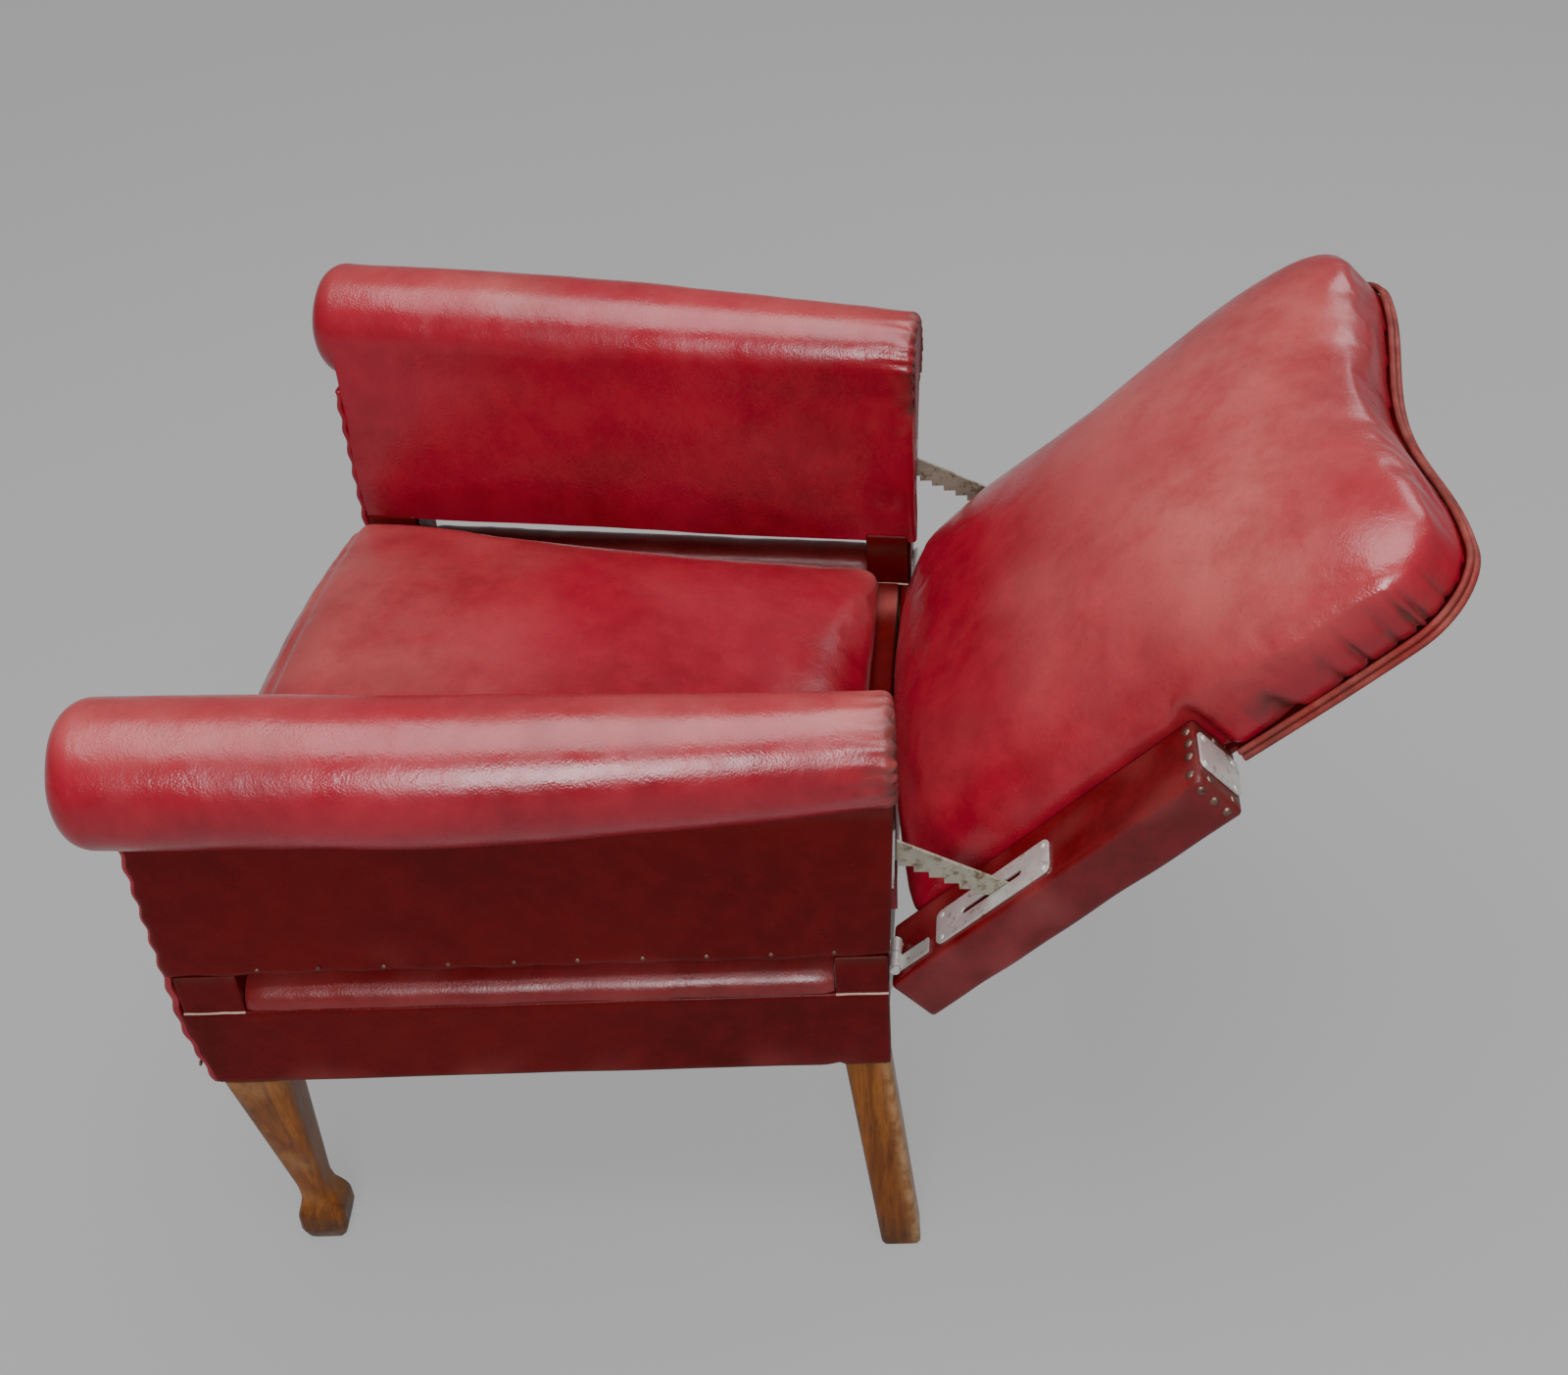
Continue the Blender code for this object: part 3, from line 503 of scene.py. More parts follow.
def arm_cover(side, s):
    """One hide from the foot of the arm's inner face over the roll to the top of the outer panel."""
    nose, rim, tail_rim, tail = 0.0230, 0.0230, 0.0070, 0.0085
    body = [(-ARM_LENGTH + t * (ARM_LENGTH + tail - tail_rim), 0.0, True)
            for t in (0.5 - 0.5 * math.cos(math.pi * i / 40) for i in range(41))]
    front = [(-ARM_LENGTH - 0.0004 - (nose - 0.0004) * math.sin(a), rim * (1 - math.cos(a)), False)
             for a in (math.pi / 2 * i / 12 for i in range(13))]
    rear = [(tail - tail_rim + tail_rim * math.sin(a), tail_rim * (1 - math.cos(a)), True)
            for a in (math.pi / 2 * i / 5 for i in range(1, 6))]
    last = front[-1]
    stations = [(last[0] - 0.0016, last[1] + 0.016, False), (last[0] - 0.0010, last[1] + 0.008, False)]
    stations += front[::-1] + body + rear
    rings = []
    inner, over, closing = 26, 64, 22
    for y, shrink, whole in stations:
        wide, tall, middle_x, middle_z = roll_size(y)
        wide, tall = wide - shrink, tall - shrink

        def on_roll(a):
            return middle_x - wide * math.cos(a), middle_z + tall * math.sin(a)

        ring = []
        if whole:
            foot_x, foot_z = shrink * 0.4, ARM_BOTTOM + 0.0080 - 0.0080 * y / ARM_LENGTH
            for i in range(inner):
                t = i / inner
                swell = 0.0045 * math.sin(math.pi * min(1.0, t * 1.15)) * (1 - shrink / 0.01)
                ring.append((foot_x + (middle_x - wide - foot_x) * t - max(0.0, swell),
                             foot_z + (middle_z - foot_z) * t))
        else:
            ring += [on_roll(-math.radians(60) * (1 - i / inner)) for i in range(inner)]
        ring += [on_roll(math.radians(240) * i / over) for i in range(over)]
        if whole:
            join_x, join_z = ARM_WIDTH + 0.0012, middle_z - tall * math.sin(JOIN_ANGLE)
            shelf = min(ARM_TOP, join_z + 0.006) + 0.0005
            route = [on_roll(math.radians(240)), (join_x, join_z), (join_x, shelf), (0.0100, shelf),
                     (0.0100, foot_z), (foot_x + 0.002, foot_z)]
            counts = (5, 4, 5, 5, 2)
            for (a, b), (c, d), parts in zip(route, route[1:], counts):
                ring += [(a + (c - a) * i / parts, b + (d - b) * i / parts) for i in range(parts)]
            ring.append(route[-1])
        else:
            ring += [on_roll(math.radians(240 + 60 * i / closing)) for i in range(closing)]
        rings.append([arm_point(s, x, y, z) for x, z in ring])
    cover = loft(f"arm_cover_{side}", rings, 55)

    def local(p):
        across = Vector((s * p.x - ARM_INNER_X, p.y - ARM_REAR_Y, 0))
        return (across.x * math.cos(SPLAY) + across.y * math.sin(SPLAY),
                across.y * math.cos(SPLAY) - across.x * math.sin(SPLAY))

    def fold(p):
        x, y = local(p)
        gather = math.exp(-max(0.0, tail - y) / 0.016)
        middle_x, middle_z = roll_size(y)[2:]
        angle = math.atan2(p.z - middle_z, x - middle_x)
        ripple = 0.0016 * gather * math.sin(angle * 19 + 3 * soft_noise(p, 0.03)) * (p.z > roll_join(y) - 0.01)
        pull = 0.0022 * soft_noise(p, 0.11, 1.0 + s) + 0.0006 * soft_noise(p, 0.035, 2.0 + s)
        dimple = 0.004 * math.exp(-((y + 0.018) / 0.012) ** 2 - ((p.z - 0.42) / 0.014) ** 2)
        return pull + ripple - (dimple if x < 0.02 else 0.0)

    displaced(cover, fold)

    def rubbed_and_sheen(p):
        x, y = local(p)
        _, tall, _, middle_z = roll_size(y)
        rear_edge = math.exp(-max(0.0, tail - y) / 0.014) * (p.z > 0.5)
        return (0.50 * bump_at(p.z, middle_z + tall, 0.014) * (0.55 + 0.55 * soft_noise(p, 0.09, 5.0))
                + 0.55 * rear_edge * max(0.0, 0.2 + soft_noise(p, 0.015, 8.0)))

    def dirt_and_shade(p):
        x, y = local(p)
        return (1.1 * math.exp(-max(0.0, tail - 0.002 - y) / 0.0075) * (p.z > roll_join(y) - 0.004)
                * (0.65 + 0.6 * soft_noise(p, 0.012, 4.0)))

    painted(cover, rubbed_and_sheen, dirt_and_shade)
    settle(cover, "base", CRIMSON, (f"arm_roll_{side}", f"inner_arm_pad_{side}"))
    bead = [arm_point(s, ARM_WIDTH + 0.0016, y, roll_join(y) - 0.0003)
            for y in (-ARM_LENGTH - 0.007 + i * (ARM_LENGTH + 0.008) / 60 for i in range(61))]
    settle(tube(f"roll_piping_{side}", bead, 0.0013), "base", PIPING)


def arm_panel(side, s):
    """Outer panel of the arm, drawn tight over a board, scalloped between the nails of its front edge."""
    def place(x, y, z):
        rearward = (y + ARM_LENGTH) / ARM_LENGTH
        share = (z - ARM_BOTTOM) / (PANEL_HIGH - ARM_BOTTOM)
        z = ARM_BOTTOM + share * (roll_join(y) + 0.003 - ARM_BOTTOM)
        y = y + RAKE * (z - COVER_TOP) * rearward - 0.0060 * (1 - rearward) ** 6
        scallop = 0.0011 * (1 - rearward) ** 12 * scallops(z)
        hem = 0.0010 * bump_at(z, ARM_BOTTOM, 0.010) * math.cos(y * 2 * math.pi / 0.055)
        return arm_point(s, x + 0.0010 * soft_noise((x, y, z), 0.10, 8.0 + s), y + scallop, z + hem)

    panel = rounded_box(f"arm_panel_{side}", (ARM_WIDTH - 0.0078, -ARM_LENGTH, ARM_BOTTOM),
                        (ARM_WIDTH + 0.0004, 0.0, PANEL_HIGH), 0.0028, (4, 90, 40), place)
    # Paler patches at the foot are wear; the second mask is painted shade, a dark band along the top under the
    # roll.
    painted(panel, lambda p: 0.25 * blotch(p, 0.05, 3.0) * bump_at(p.z, ARM_BOTTOM, 0.02),
            lambda p: 0.35 * bump_at(p.z, PANEL_TOP + 0.004, 0.006))
    settle(panel, "base", SHADED, (f"outer_arm_panel_{side}",))


def arm_edges(side, s):
    """Leather over the front and rear edges of the arm and round the posts below the panel."""
    def front(x, y, z):
        wave = 0.0012 * scallops(z) * bump_at(abs(x - ARM_WIDTH / 2), ARM_WIDTH / 2, 0.010)
        return arm_point(s, x, y + wave + toe(z), z)

    facing = rounded_box(f"arm_front_{side}", (0.0006, -ARM_LENGTH - 0.0030, LEG_TOP),
                         (ARM_WIDTH - 0.0004, -ARM_LENGTH + 0.0036, ARM_TOP - 0.004), 0.0024, (16, 4, 110),
                         front)
    painted(facing, lambda p: 0.3 * blotch(p, 0.04, 6.0),
            lambda p: 0.5 * bump_at(p.z, LEG_TOP, 0.010))
    settle(facing, "base", CRIMSON, (f"front_facing_{side}",))

    slot_low, slot_high = (corner.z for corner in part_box(f"catch_plate_{side}"))

    def rear(x, y, z):
        return arm_point(s, x, y + RAKE * max(0.0, z - COVER_TOP), z)

    def wrap(x, y, z):
        return arm_point(s, x + 0.0005 * soft_noise((x, y, z), 0.03, 9.0), y, z)

    pieces = []
    for low, high in ((LEG_TOP, slot_low + 0.014), (slot_high - 0.012, PANEL_TOP)):
        pieces.append(rounded_box("strip", (0.0106, -0.0028, low), (0.0464, 0.0002, high), 0.0012,
                                  (8, 3, 40), rear))
    settle(joined(f"arm_rear_{side}", pieces), "base", SHADED, (f"rear_facing_{side}",))

    for where, low_y, high_y in (("front", -ARM_LENGTH + 0.0006, -ARM_LENGTH + FRONT_POST),
                                 ("rear", -REAR_POST, -0.0006)):
        for face, low_x, high_x, top in (("outer", ARM_WIDTH - 0.0010, ARM_WIDTH + 0.0006, ARM_BOTTOM - 0.0003),
                                         ("inner", -0.0010, 0.0006, ARM_BOTTOM + 0.0170)):
            patch = rounded_box(f"{where}_wrap_{face}_{side}", (low_x, low_y, COVER_TOP - 0.0002),
                                (high_x, high_y, top), 0.0007, (2, 14, 12), wrap)
            # Painted shade along the wrap at the height of the arm's bottom edge, just under the panel and the
            # cover.
            painted(patch, None, lambda p: 0.5 * bump_at(p.z, ARM_BOTTOM, 0.006))
            settle(patch, "base", SHADED)
        for face, x in (("outer", ARM_WIDTH + 0.0007), ("inner", -0.0011)):
            edge = tube(f"{where}_wrap_edge_{face}_{side}",
                        [arm_point(s, x, y, COVER_TOP + 0.0002 + 0.0006 * soft_noise((y, x, 0.0), 0.012, 2.0))
                         for y in (low_y + (high_y - low_y) * i / 16 for i in range(17))], 0.0010)
            settle(edge, "base", EDGE)


def nail(point, normal, radius):
    """A domed upholstery nail's head."""
    bm = bmesh.new()
    bmesh.ops.create_uvsphere(bm, u_segments=14, v_segments=8, radius=radius)
    turn = Vector((0, 0, 1)).rotation_difference(Vector(normal).normalized()).to_matrix().to_4x4()
    flat = Matrix.Diagonal((1, 1, 0.5, 1))
    bmesh.ops.transform(bm, matrix=Matrix.Translation(point) @ turn @ flat, verts=bm.verts)
    return finish_mesh("nail", bm)


def arm_nails(side, s):
    """Small nails along the panel's foot and close ones down both edges of the arm's front."""
    out = Vector((s, 0, 0))
    made = []
    count = 10
    for i in range(count):
        y = -ARM_LENGTH + 0.070 + (ARM_LENGTH - 0.11) * i / (count - 1) + 0.006 * soft_noise((i * 1.7, s, 0), 1.0)
        made.append(nail(arm_point(s, ARM_WIDTH + 0.0002, y, ARM_BOTTOM + 0.006), out, 0.0021))
    ahead = Vector((0, -1, 0))
    for i in range(11):
        z = LEG_TOP + 0.020 + NAIL_PITCH * i
        for x in (0.005, ARM_WIDTH - 0.005):
            made.append(nail(arm_point(s, x, -ARM_LENGTH - 0.0030, z), ahead, 0.0026))
    settle(joined(f"arm_nails_{side}", made), "base", NAIL)


def base_side(side, s):
    """Leather over the side rail, and the padded roll that lies on the rail under the arm."""
    def cover_place(x, y, z):
        front = max(0.0, 1 - (y + ARM_LENGTH) / 0.030)
        low = max(0.0, 1 - (z - LEG_TOP) / 0.022)
        to_post = -REAR_POST + 0.004 - y
        lift = 0.004 * low * max(0.0, 1 - to_post / 0.016) * (to_post > 0)
        return arm_point(s, x + 0.0009 * soft_noise((x, y, z), 0.07, 12.0), y + toe(z) * front, z + lift)

    cover = rounded_box(f"base_side_{side}", (ARM_WIDTH - 0.0078, -ARM_LENGTH + 0.0006, LEG_TOP),
                        (ARM_WIDTH + 0.0003, -0.0004, COVER_TOP - 0.0002), 0.0028, (4, 90, 24), cover_place)
    painted(cover, lambda p: 0.30 * blotch(p, 0.06, 2.0) * bump_at(p.z, LEG_TOP, 0.02),
            lambda p: 0.45 * bump_at(p.z, LEG_TOP, 0.004))
    settle(cover, "base", SHADED, (f"base_side_cover_{side}",))

    low_y, high_y = -ARM_LENGTH + FRONT_POST + 0.0008, -REAR_POST - 0.0008
    rings = []
    for i in range(61):
        t = i / 60
        y = low_y + (high_y - low_y) * t
        end = min(t, 1 - t) / 0.02
        size = 1 - 0.10 * max(0.0, 1 - end) ** 2
        ring = []
        for j in range(37):
            a = math.pi * j / 36
            x = 0.0292 + 0.0262 * size * math.cos(a)
            z = COVER_TOP + 0.0010 + 0.0215 * size * math.sin(a) ** 0.85
            ring.append(arm_point(s, x, y, z))
        rings.append(ring)
    roll = loft(f"rail_roll_{side}", rings, 60)
    displaced(roll, lambda p: 0.0008 * soft_noise(p, 0.05, 4.0 + s) + 0.0004 * soft_noise(p, 0.015, 6.0))
    # A pale wash over the whole roll: painted sheen. The roll's leather is the half-shaded copy, painted shade.
    painted(roll, lambda p: 0.20 * (0.6 + 0.4 * soft_noise(p, 0.05, 3.0)))
    settle(roll, "base", HALF_SHADED, (f"side_rail_roll_{side}",))


def base_ends():
    """Leather across the front and the rear of the base."""
    for name, node in (("front_border_leather", "front_border"), ("rear_base_leather", "rear_base_cover")):
        def place(x, y, z):
            return Vector((x, y + 0.0008 * soft_noise((x, y, z), 0.09, 5.0), z))

        cover = rounded_box(name, *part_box(node), 0.0026, (110, 4, 18), place)
        painted(cover, lambda p: 0.25 * blotch(p, 0.06, 7.0),
                lambda p: 0.4 * bump_at(p.z, LEG_TOP, 0.004))
        settle(cover, "base", SHADED, (node,))


# Seat
def seat():
    """Crowned sprung seat, rolled over at the front and tucked in at the sides and the rear."""
    low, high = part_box("seat_pad")
    under = low.z + 0.002
    front, rear = low.y - 0.018, high.y - 0.001
    depth = rear - front

    def place(x, y, z):
        t = (rear - y) / depth
        u = x / high.x
        half = high.x - 0.006 - depth * math.tan(SPLAY) * (1 - t)
        edge_top = 0.3550 + 0.0330 * t ** 1.2
        crown = ((0.050 - 0.008 * t) * (1 - abs(u) ** 2.4) * (1 - max(0.0, 2 * t - 1) ** 6)
                 * (1 - max(0.0, 1 - 1.6 * t) ** 3))
        bow = 0.024 * max(0.0, 2 * t - 1) ** 2 * abs(u) ** 2.5
        share = (z - under) / (high.z - under)
        return Vector((u * half, y + bow, under + share * (edge_top + crown - under)))

    pad = rounded_box("seat_cushion", (-high.x, front, under), (high.x, rear, high.z), 0.024,
                      (60, 56, 12), place)
    inflated(pad, 0.0060, 1.6, 0.014, lambda p: p[2] < under + 0.006)
    points = coordinates(pad)
    points[:, 2] = np.minimum(points[:, 2], high.z + 0.010)
    points[:, 1] = np.clip(points[:, 1], front - 0.004, rear + 0.003)
    reach = high.x - 0.002 - (points[:, 1] - front) * math.tan(SPLAY)
    points[:, 0] = np.clip(points[:, 0], -reach, reach)
    set_coordinates(pad, points)
    finer(pad)

    def shape(p):
        crease = 0.0030 * bump_at(p.y, front + 0.030, 0.005) * (p.z > 0.35)
        sag = 0.0022 * soft_noise(p, 0.16, 3.0) + 0.0005 * soft_noise(p, 0.05, 5.0)
        return sag - crease

    displaced(pad, shape)
    painted(pad, lambda p: 0.75 * max(0.0, min(1.0, (rear - 0.28 - p.y) / 0.24)) ** 0.8
            * (0.60 + 0.5 * soft_noise(p, 0.10, 2.0))
            + 0.9 * bump_at(p.y, rear, 0.022) * bump_at(abs(p.x), 0.238, 0.020)
            + 0.14 * blotch(p, 0.08, 9.0))
    # Painted shade in the rear corners and along the rear edge, where the seat meets the arms and the back.
    painted(pad, None, lambda p: 0.55 * bump_at(abs(p.x), 0.25, 0.010) * bump_at(p.y, rear, 0.03)
            + 0.30 * bump_at(p.y, rear + 0.004, 0.006))
    settle(pad, "base", CRIMSON, ("seat_pad",))

    rail_low, rail_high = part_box("rear_rail")

    def wrapped(x, y, z):
        return Vector((x, y, z + 0.0008 * soft_noise((x, y, z), 0.05, 3.0)))

    strip = rounded_box("rear_rail_leather", (rail_low.x + 0.001, rail_low.y - 0.0010, rail_high.z - 0.0015),
                        (rail_high.x - 0.001, rail_high.y + 0.0006, rail_high.z + 0.0016), 0.0014, (80, 10, 3),
                        wrapped)
    painted(strip, lambda p: 0.5 * bump_at(abs(p.x), 0.22, 0.02))
    settle(strip, "base", SHADED)


# Back
def half_outline():
    """Right half of the back's outline above the posts as x and height: side, ear, dip to the middle."""
    side_x, ear_x, dip_z, corner, steps = 0.2500, 0.1850, 0.5040, 0.0560, 14
    foot = [(0.2440 + 0.0060 * math.sin(math.pi / 2 * i / 8), 0.3140 + (BACK_HIGH - corner - 0.3140) * i / 8)
            for i in range(8)]
    ear = [(side_x - corner + corner * math.cos(a), BACK_HIGH - corner + corner * math.sin(a))
           for a in (math.pi / 2 * i / steps for i in range(steps + 1))]
    dip = [(ear_x * (1 - i / steps), dip_z + (BACK_HIGH - dip_z) * (1 + math.cos(math.pi * i / steps)) / 2)
           for i in range(1, steps + 1)]
    return foot + ear + dip


def back_outline():
    """The whole outline above the posts, from the right side to the left."""
    right = half_outline()
    return right + [(-x, z) for x, z in right[-2::-1]]


def resampled(points, count, closed=True):
    """The same polyline with evenly spaced points."""
    line = np.array(points + ([points[0]] if closed else []), float)
    along = np.concatenate([[0], np.cumsum(np.linalg.norm(np.diff(line, axis=0), axis=1))])
    wanted = np.linspace(0, along[-1], count + (1 if closed else 0))[:count]
    return [tuple(np.interp(w, along, line[:, k]) for k in range(line.shape[1])) for w in wanted]


# Where the pleats run out from an ear's middle, in degrees above level, and how deep each is
PLEATS = ((-64, 1.0), (-47, 0.55), (-33, 1.0), (-10, 0.5), (8, 1.0), (17, 0.8), (38, 0.45))


def stuffing(outline, cell=0.006):
    """Relaxed fullness over the outline, 0 at its edge and 1 at its fullest, at an x and a height."""
    xs = np.arange(-0.264, 0.2641, cell)
    zs = np.arange(-0.18, 0.5401, cell)
    grid_x, grid_z = np.meshgrid(xs, zs, indexing="ij")
    inside = np.zeros(grid_x.shape, bool)
    for (ax, az), (bx, bz) in zip(outline, outline[1:] + outline[:1]):
        crosses = (az > grid_z) != (bz > grid_z)
        with np.errstate(divide="ignore", invalid="ignore"):
            at = (bx - ax) * (grid_z - az) / (bz - az) + ax
        inside ^= crosses & (grid_x < at)
    full = np.zeros(grid_x.shape)
    for _ in range(6000):
        spread = (np.roll(full, 1, 0) + np.roll(full, -1, 0) + np.roll(full, 1, 1) + np.roll(full, -1, 1)) / 4
        full = np.where(inside, spread + 0.0005, 0.0)
    full /= full.max()

    def at(x, z):
        i, j = (x - xs[0]) / cell, (z - zs[0]) / cell
        a, b = int(min(max(i, 0), len(xs) - 2)), int(min(max(j, 0), len(zs) - 2))
        u, v = min(max(i - a, 0.0), 1.0), min(max(j - b, 0.0), 1.0)
        return float((full[a, b] * (1 - u) + full[a + 1, b] * u) * (1 - v)
                     + (full[a, b + 1] * (1 - u) + full[a + 1, b + 1] * u) * v)

    return at


def back_cushion():
    """Stuffed back with two ears, narrow between the posts and gathered into pleats round the ears."""
    reach = POST_INNER_X - 0.0020
    lower = [(reach - 0.010, 0.0050), (reach, 0.0160), (reach, 0.3100)]
    outline = resampled(lower + back_outline() + [(-x, z) for x, z in lower[::-1]], 200)
    below = [(x, z) if z > 0.05 else (reach * (1 if x > 0 else -1), -0.16) for x, z in outline]
    fullness = stuffing(below)
    middle, rear, edge = 0.2700, POST_FACE + 0.0430, POST_FACE + 0.0180
    heights = (0.0, 0.008, 0.02, 0.04, 0.08, 0.15, 0.215, 0.277, 0.34, 0.40, 0.46, 0.52)
    reaches = (0.020, 0.036, 0.056, 0.083, 0.107, 0.110, 0.104, 0.100, 0.098, 0.096, 0.094, 0.092)
    rings = [[back_point(x, y, z) for x, z in outline] for y in (rear, rear - 0.0125)]
    for k in range(34):
        inward = (k / 33) ** 1.9 * 0.965
        ring = []
        for x, z in outline:
            px, pz = x * (1 - inward), middle + (z - middle) * (1 - inward)
            rise = float(np.interp(pz, heights, reaches))
            ring.append(back_point(px, edge - rise * max(0.0, fullness(px, pz)) ** 0.33, pz))
        rings.append(ring)
    pad = loft("back_cushion", rings)
    normal = back_point(0, 1, 0) - back_point(0, 0, 0)
    up = back_point(0, 0, 1) - back_point(0, 0, 0)

    def local(p):
        d = Vector(p) - HINGE
        return p[0], d.dot(normal), d.dot(up)

    inflated(pad, 0.0055, 2.0, 0.014, lambda p: local(p)[1] > POST_FACE + 0.032)
    points = coordinates(pad)
    offset = points - np.array(HINGE)
    y, z = offset @ np.array(normal), offset @ np.array(up)
    limit = np.where(z < 0.3125, POST_INNER_X - 0.0008, 0.262)
    inside = y > POST_FACE - 0.004
    points[:, 0] = np.where(inside, np.clip(points[:, 0], -limit, limit), points[:, 0])
    set_coordinates(pad, points)
    finer(pad)
    ear = (0.1940, BACK_HIGH - 0.0560)

    def folds(x, z, width):
        angle = math.degrees(math.atan2(z - ear[1], abs(x) - ear[0]))
        return angle, sum(bump_at(angle, at, width) * strength for at, strength in PLEATS)

    def pleats(p):
        x, y, z = local(p)
        angle, depth = folds(x, z, 2.0)
        fade = max(0.0, min(1.0, (y - POST_FACE + 0.004) / 0.028))
        far = math.hypot(abs(x) - ear[0], z - ear[1])
        gathered = 0.0050 * depth * fade * (far > 0.03)
        waves = 0.0020 * soft_noise(p, 0.15, 1.0) + 0.0005 * soft_noise(p, 0.04, 7.0)
        return waves - gathered

    displaced(pad, pleats)

    def rubbed_and_sheen(p):
        x, y, z = local(p)
        high = max(0.0, min(1.0, (z - 0.17) / 0.20))
        return (0.62 * high * (0.62 + 0.5 * soft_noise(p, 0.14, 3.0)) * max(0.0, 1 - (y - POST_FACE + 0.03) / 0.05)
                + 0.10 * blotch(p, 0.07, 8.0))

    # Darker near the ears towards the rear edge, most in the pleats: dirt, with painted shade in the pleat
    # creases.
    def dirt_and_shade(p):
        x, y, z = local(p)
        angle, crease = folds(x, z, 3.2)
        near_ear = 1.0 if -78 < angle < 50 and z > 0.34 else 0.0
        back_edge = max(0.0, min(1.0, (y - POST_FACE - 0.004) / 0.022))
        return near_ear * back_edge * (0.30 + 0.95 * crease) * (0.8 + 0.5 * soft_noise(p, 0.02, 2.0))

    painted(pad, rubbed_and_sheen, dirt_and_shade)
    settle(pad, "backrest", CRIMSON, ("back_pad",))


def back_edging():
    """Double piping round the rear edge of the ears, and the leather panel that closes the back."""
    rear = POST_FACE + POST_DEPTH
    path = resampled(back_outline(), 150, closed=False)
    for name, y, grow, radius in (("back_piping_outer", rear - 0.0008, 0.0036, 0.0032),
                                  ("back_piping_inner", rear - 0.0068, 0.0032, 0.0026)):
        middle = np.array((0.0, 0.30))
        line = []
        for i, (x, z) in enumerate(path):
            a, b = path[max(i - 1, 0)], path[min(i + 1, len(path) - 1)]
            out = np.array((b[1] - a[1], a[0] - b[0]))
            out /= np.linalg.norm(out)
            if out @ (np.array((x, z)) - middle) < 0:
                out = -out
            line.append(back_point(x + out[0] * grow, y, z + out[1] * grow))
        bead = tube(name, line, radius)
        painted(bead, lambda p: 0.3 * blotch(p, 0.03, 5.0), lambda p: 0.35 + 0.4 * soft_noise(p, 0.02, 3.0))
        settle(bead, "backrest", PIPING, ("back_piping",))
    reach = POST_INNER_X - 0.0008
    lower = [(reach, 0.002), (reach, 0.3125)]
    outline = resampled(lower + back_outline() + [(-x, z) for x, z in lower[::-1]], 180)
    middle = 0.27
    rings = []
    for out, inward in ((-0.0046, 0.0), (-0.0012, 0.0), (0.0004, 0.0012), (0.0012, 0.008), (0.0018, 0.04),
                        (0.0020, 0.10), (0.0020, 0.18)):
        rings.append([back_point(x * (1 - inward / 0.25), rear + out, middle + (z - middle) * (1 - inward / 0.26))
                      for x, z in outline])
    panel = loft("outside_back", rings, 50)
    painted(panel, lambda p: 0.25 * blotch(p, 0.09, 4.0))
    settle(panel, "backrest", SHADED, ("outside_back_panel",))


def cut_by(piece, tool):
    """piece minus tool, with the Boolean applied."""
    change = piece.modifiers.new("cut", "BOOLEAN")
    change.operation = "DIFFERENCE"
    change.object = tool
    apply_modifiers(piece)
    bpy.data.objects.remove(tool, do_unlink=True)
    return piece


def back_post(side, s):
    """Timber post in a tight leather wrap, with a way for the ratchet bar, nailed at its ends."""
    bar_x = abs(sum(corner.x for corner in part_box(f"ratchet_bar_{side}"))) / 2

    def place(x, y, z):
        dent = 0.0010 * soft_noise((x, y, z), 0.05, 10.0 + s)
        return back_point(s * (x + dent), y + 0.0006 * soft_noise((z, x, y), 0.04, 3.0), z)

    post = rounded_box(f"back_post_leather_{side}", (POST_INNER_X + 0.0002, POST_FACE, POST_LOW),
                       (POST_OUTER_X, POST_FACE + POST_DEPTH, POST_HIGH), 0.0040, (16, 12, 60), place)
    cut_by(post, rounded_box("way", (bar_x - 0.0036, POST_FACE - 0.010, 0.0680),
                             (bar_x + 0.0036, POST_FACE + 0.0400, 0.1360), 0.0010, (2, 2, 2),
                             lambda x, y, z: back_point(s * x, y, z)))
    post.data.set_sharp_from_angle(angle=math.radians(50))
    top = back_point(0, 0, POST_HIGH)
    painted(post, lambda p: 0.35 * blotch(p, 0.05, 6.0),
            lambda p: 0.55 * max(0.0, 1 - (p - HINGE).length / 0.05)
            + 0.5 * max(0.0, 1 - abs((p - top).dot(top - HINGE) / (top - HINGE).length) / 0.010))
    # The wrap takes the half-shaded copy of the leather: painted shade.
    settle(post, "backrest", HALF_SHADED, (f"back_post_{side}",))
    face = back_point(0, -1, 0) - back_point(0, 0, 0)
    outward = Vector((s, 0, 0))
    end = back_point(0, 0, 1) - back_point(0, 0, 0)
    made = []
    for x, z in ((POST_INNER_X + 0.012, POST_HIGH - 0.007), (POST_INNER_X + 0.026, POST_HIGH - 0.006),
                 (POST_INNER_X + 0.040, POST_HIGH - 0.007), (POST_OUTER_X - 0.010, POST_HIGH - 0.008),
                 (POST_OUTER_X - 0.014, POST_LOW + 0.010), (POST_INNER_X + 0.030, POST_LOW + 0.010)):
        made.append(nail(back_point(s * x, POST_FACE, z), face, 0.0040))
    for y in (0.010, 0.024, 0.038):
        made.append(nail(back_point(s * POST_OUTER_X, POST_FACE + y, POST_HIGH - 0.007), outward, 0.0038))
    for x, y in ((POST_OUTER_X - 0.008, 0.012), (POST_OUTER_X - 0.008, 0.038), (POST_INNER_X + 0.007, 0.024)):
        made.append(nail(back_point(s * x, POST_FACE + y, POST_HIGH), end, 0.0036))
    settle(joined(f"post_nails_{side}", made), "backrest", NAIL)


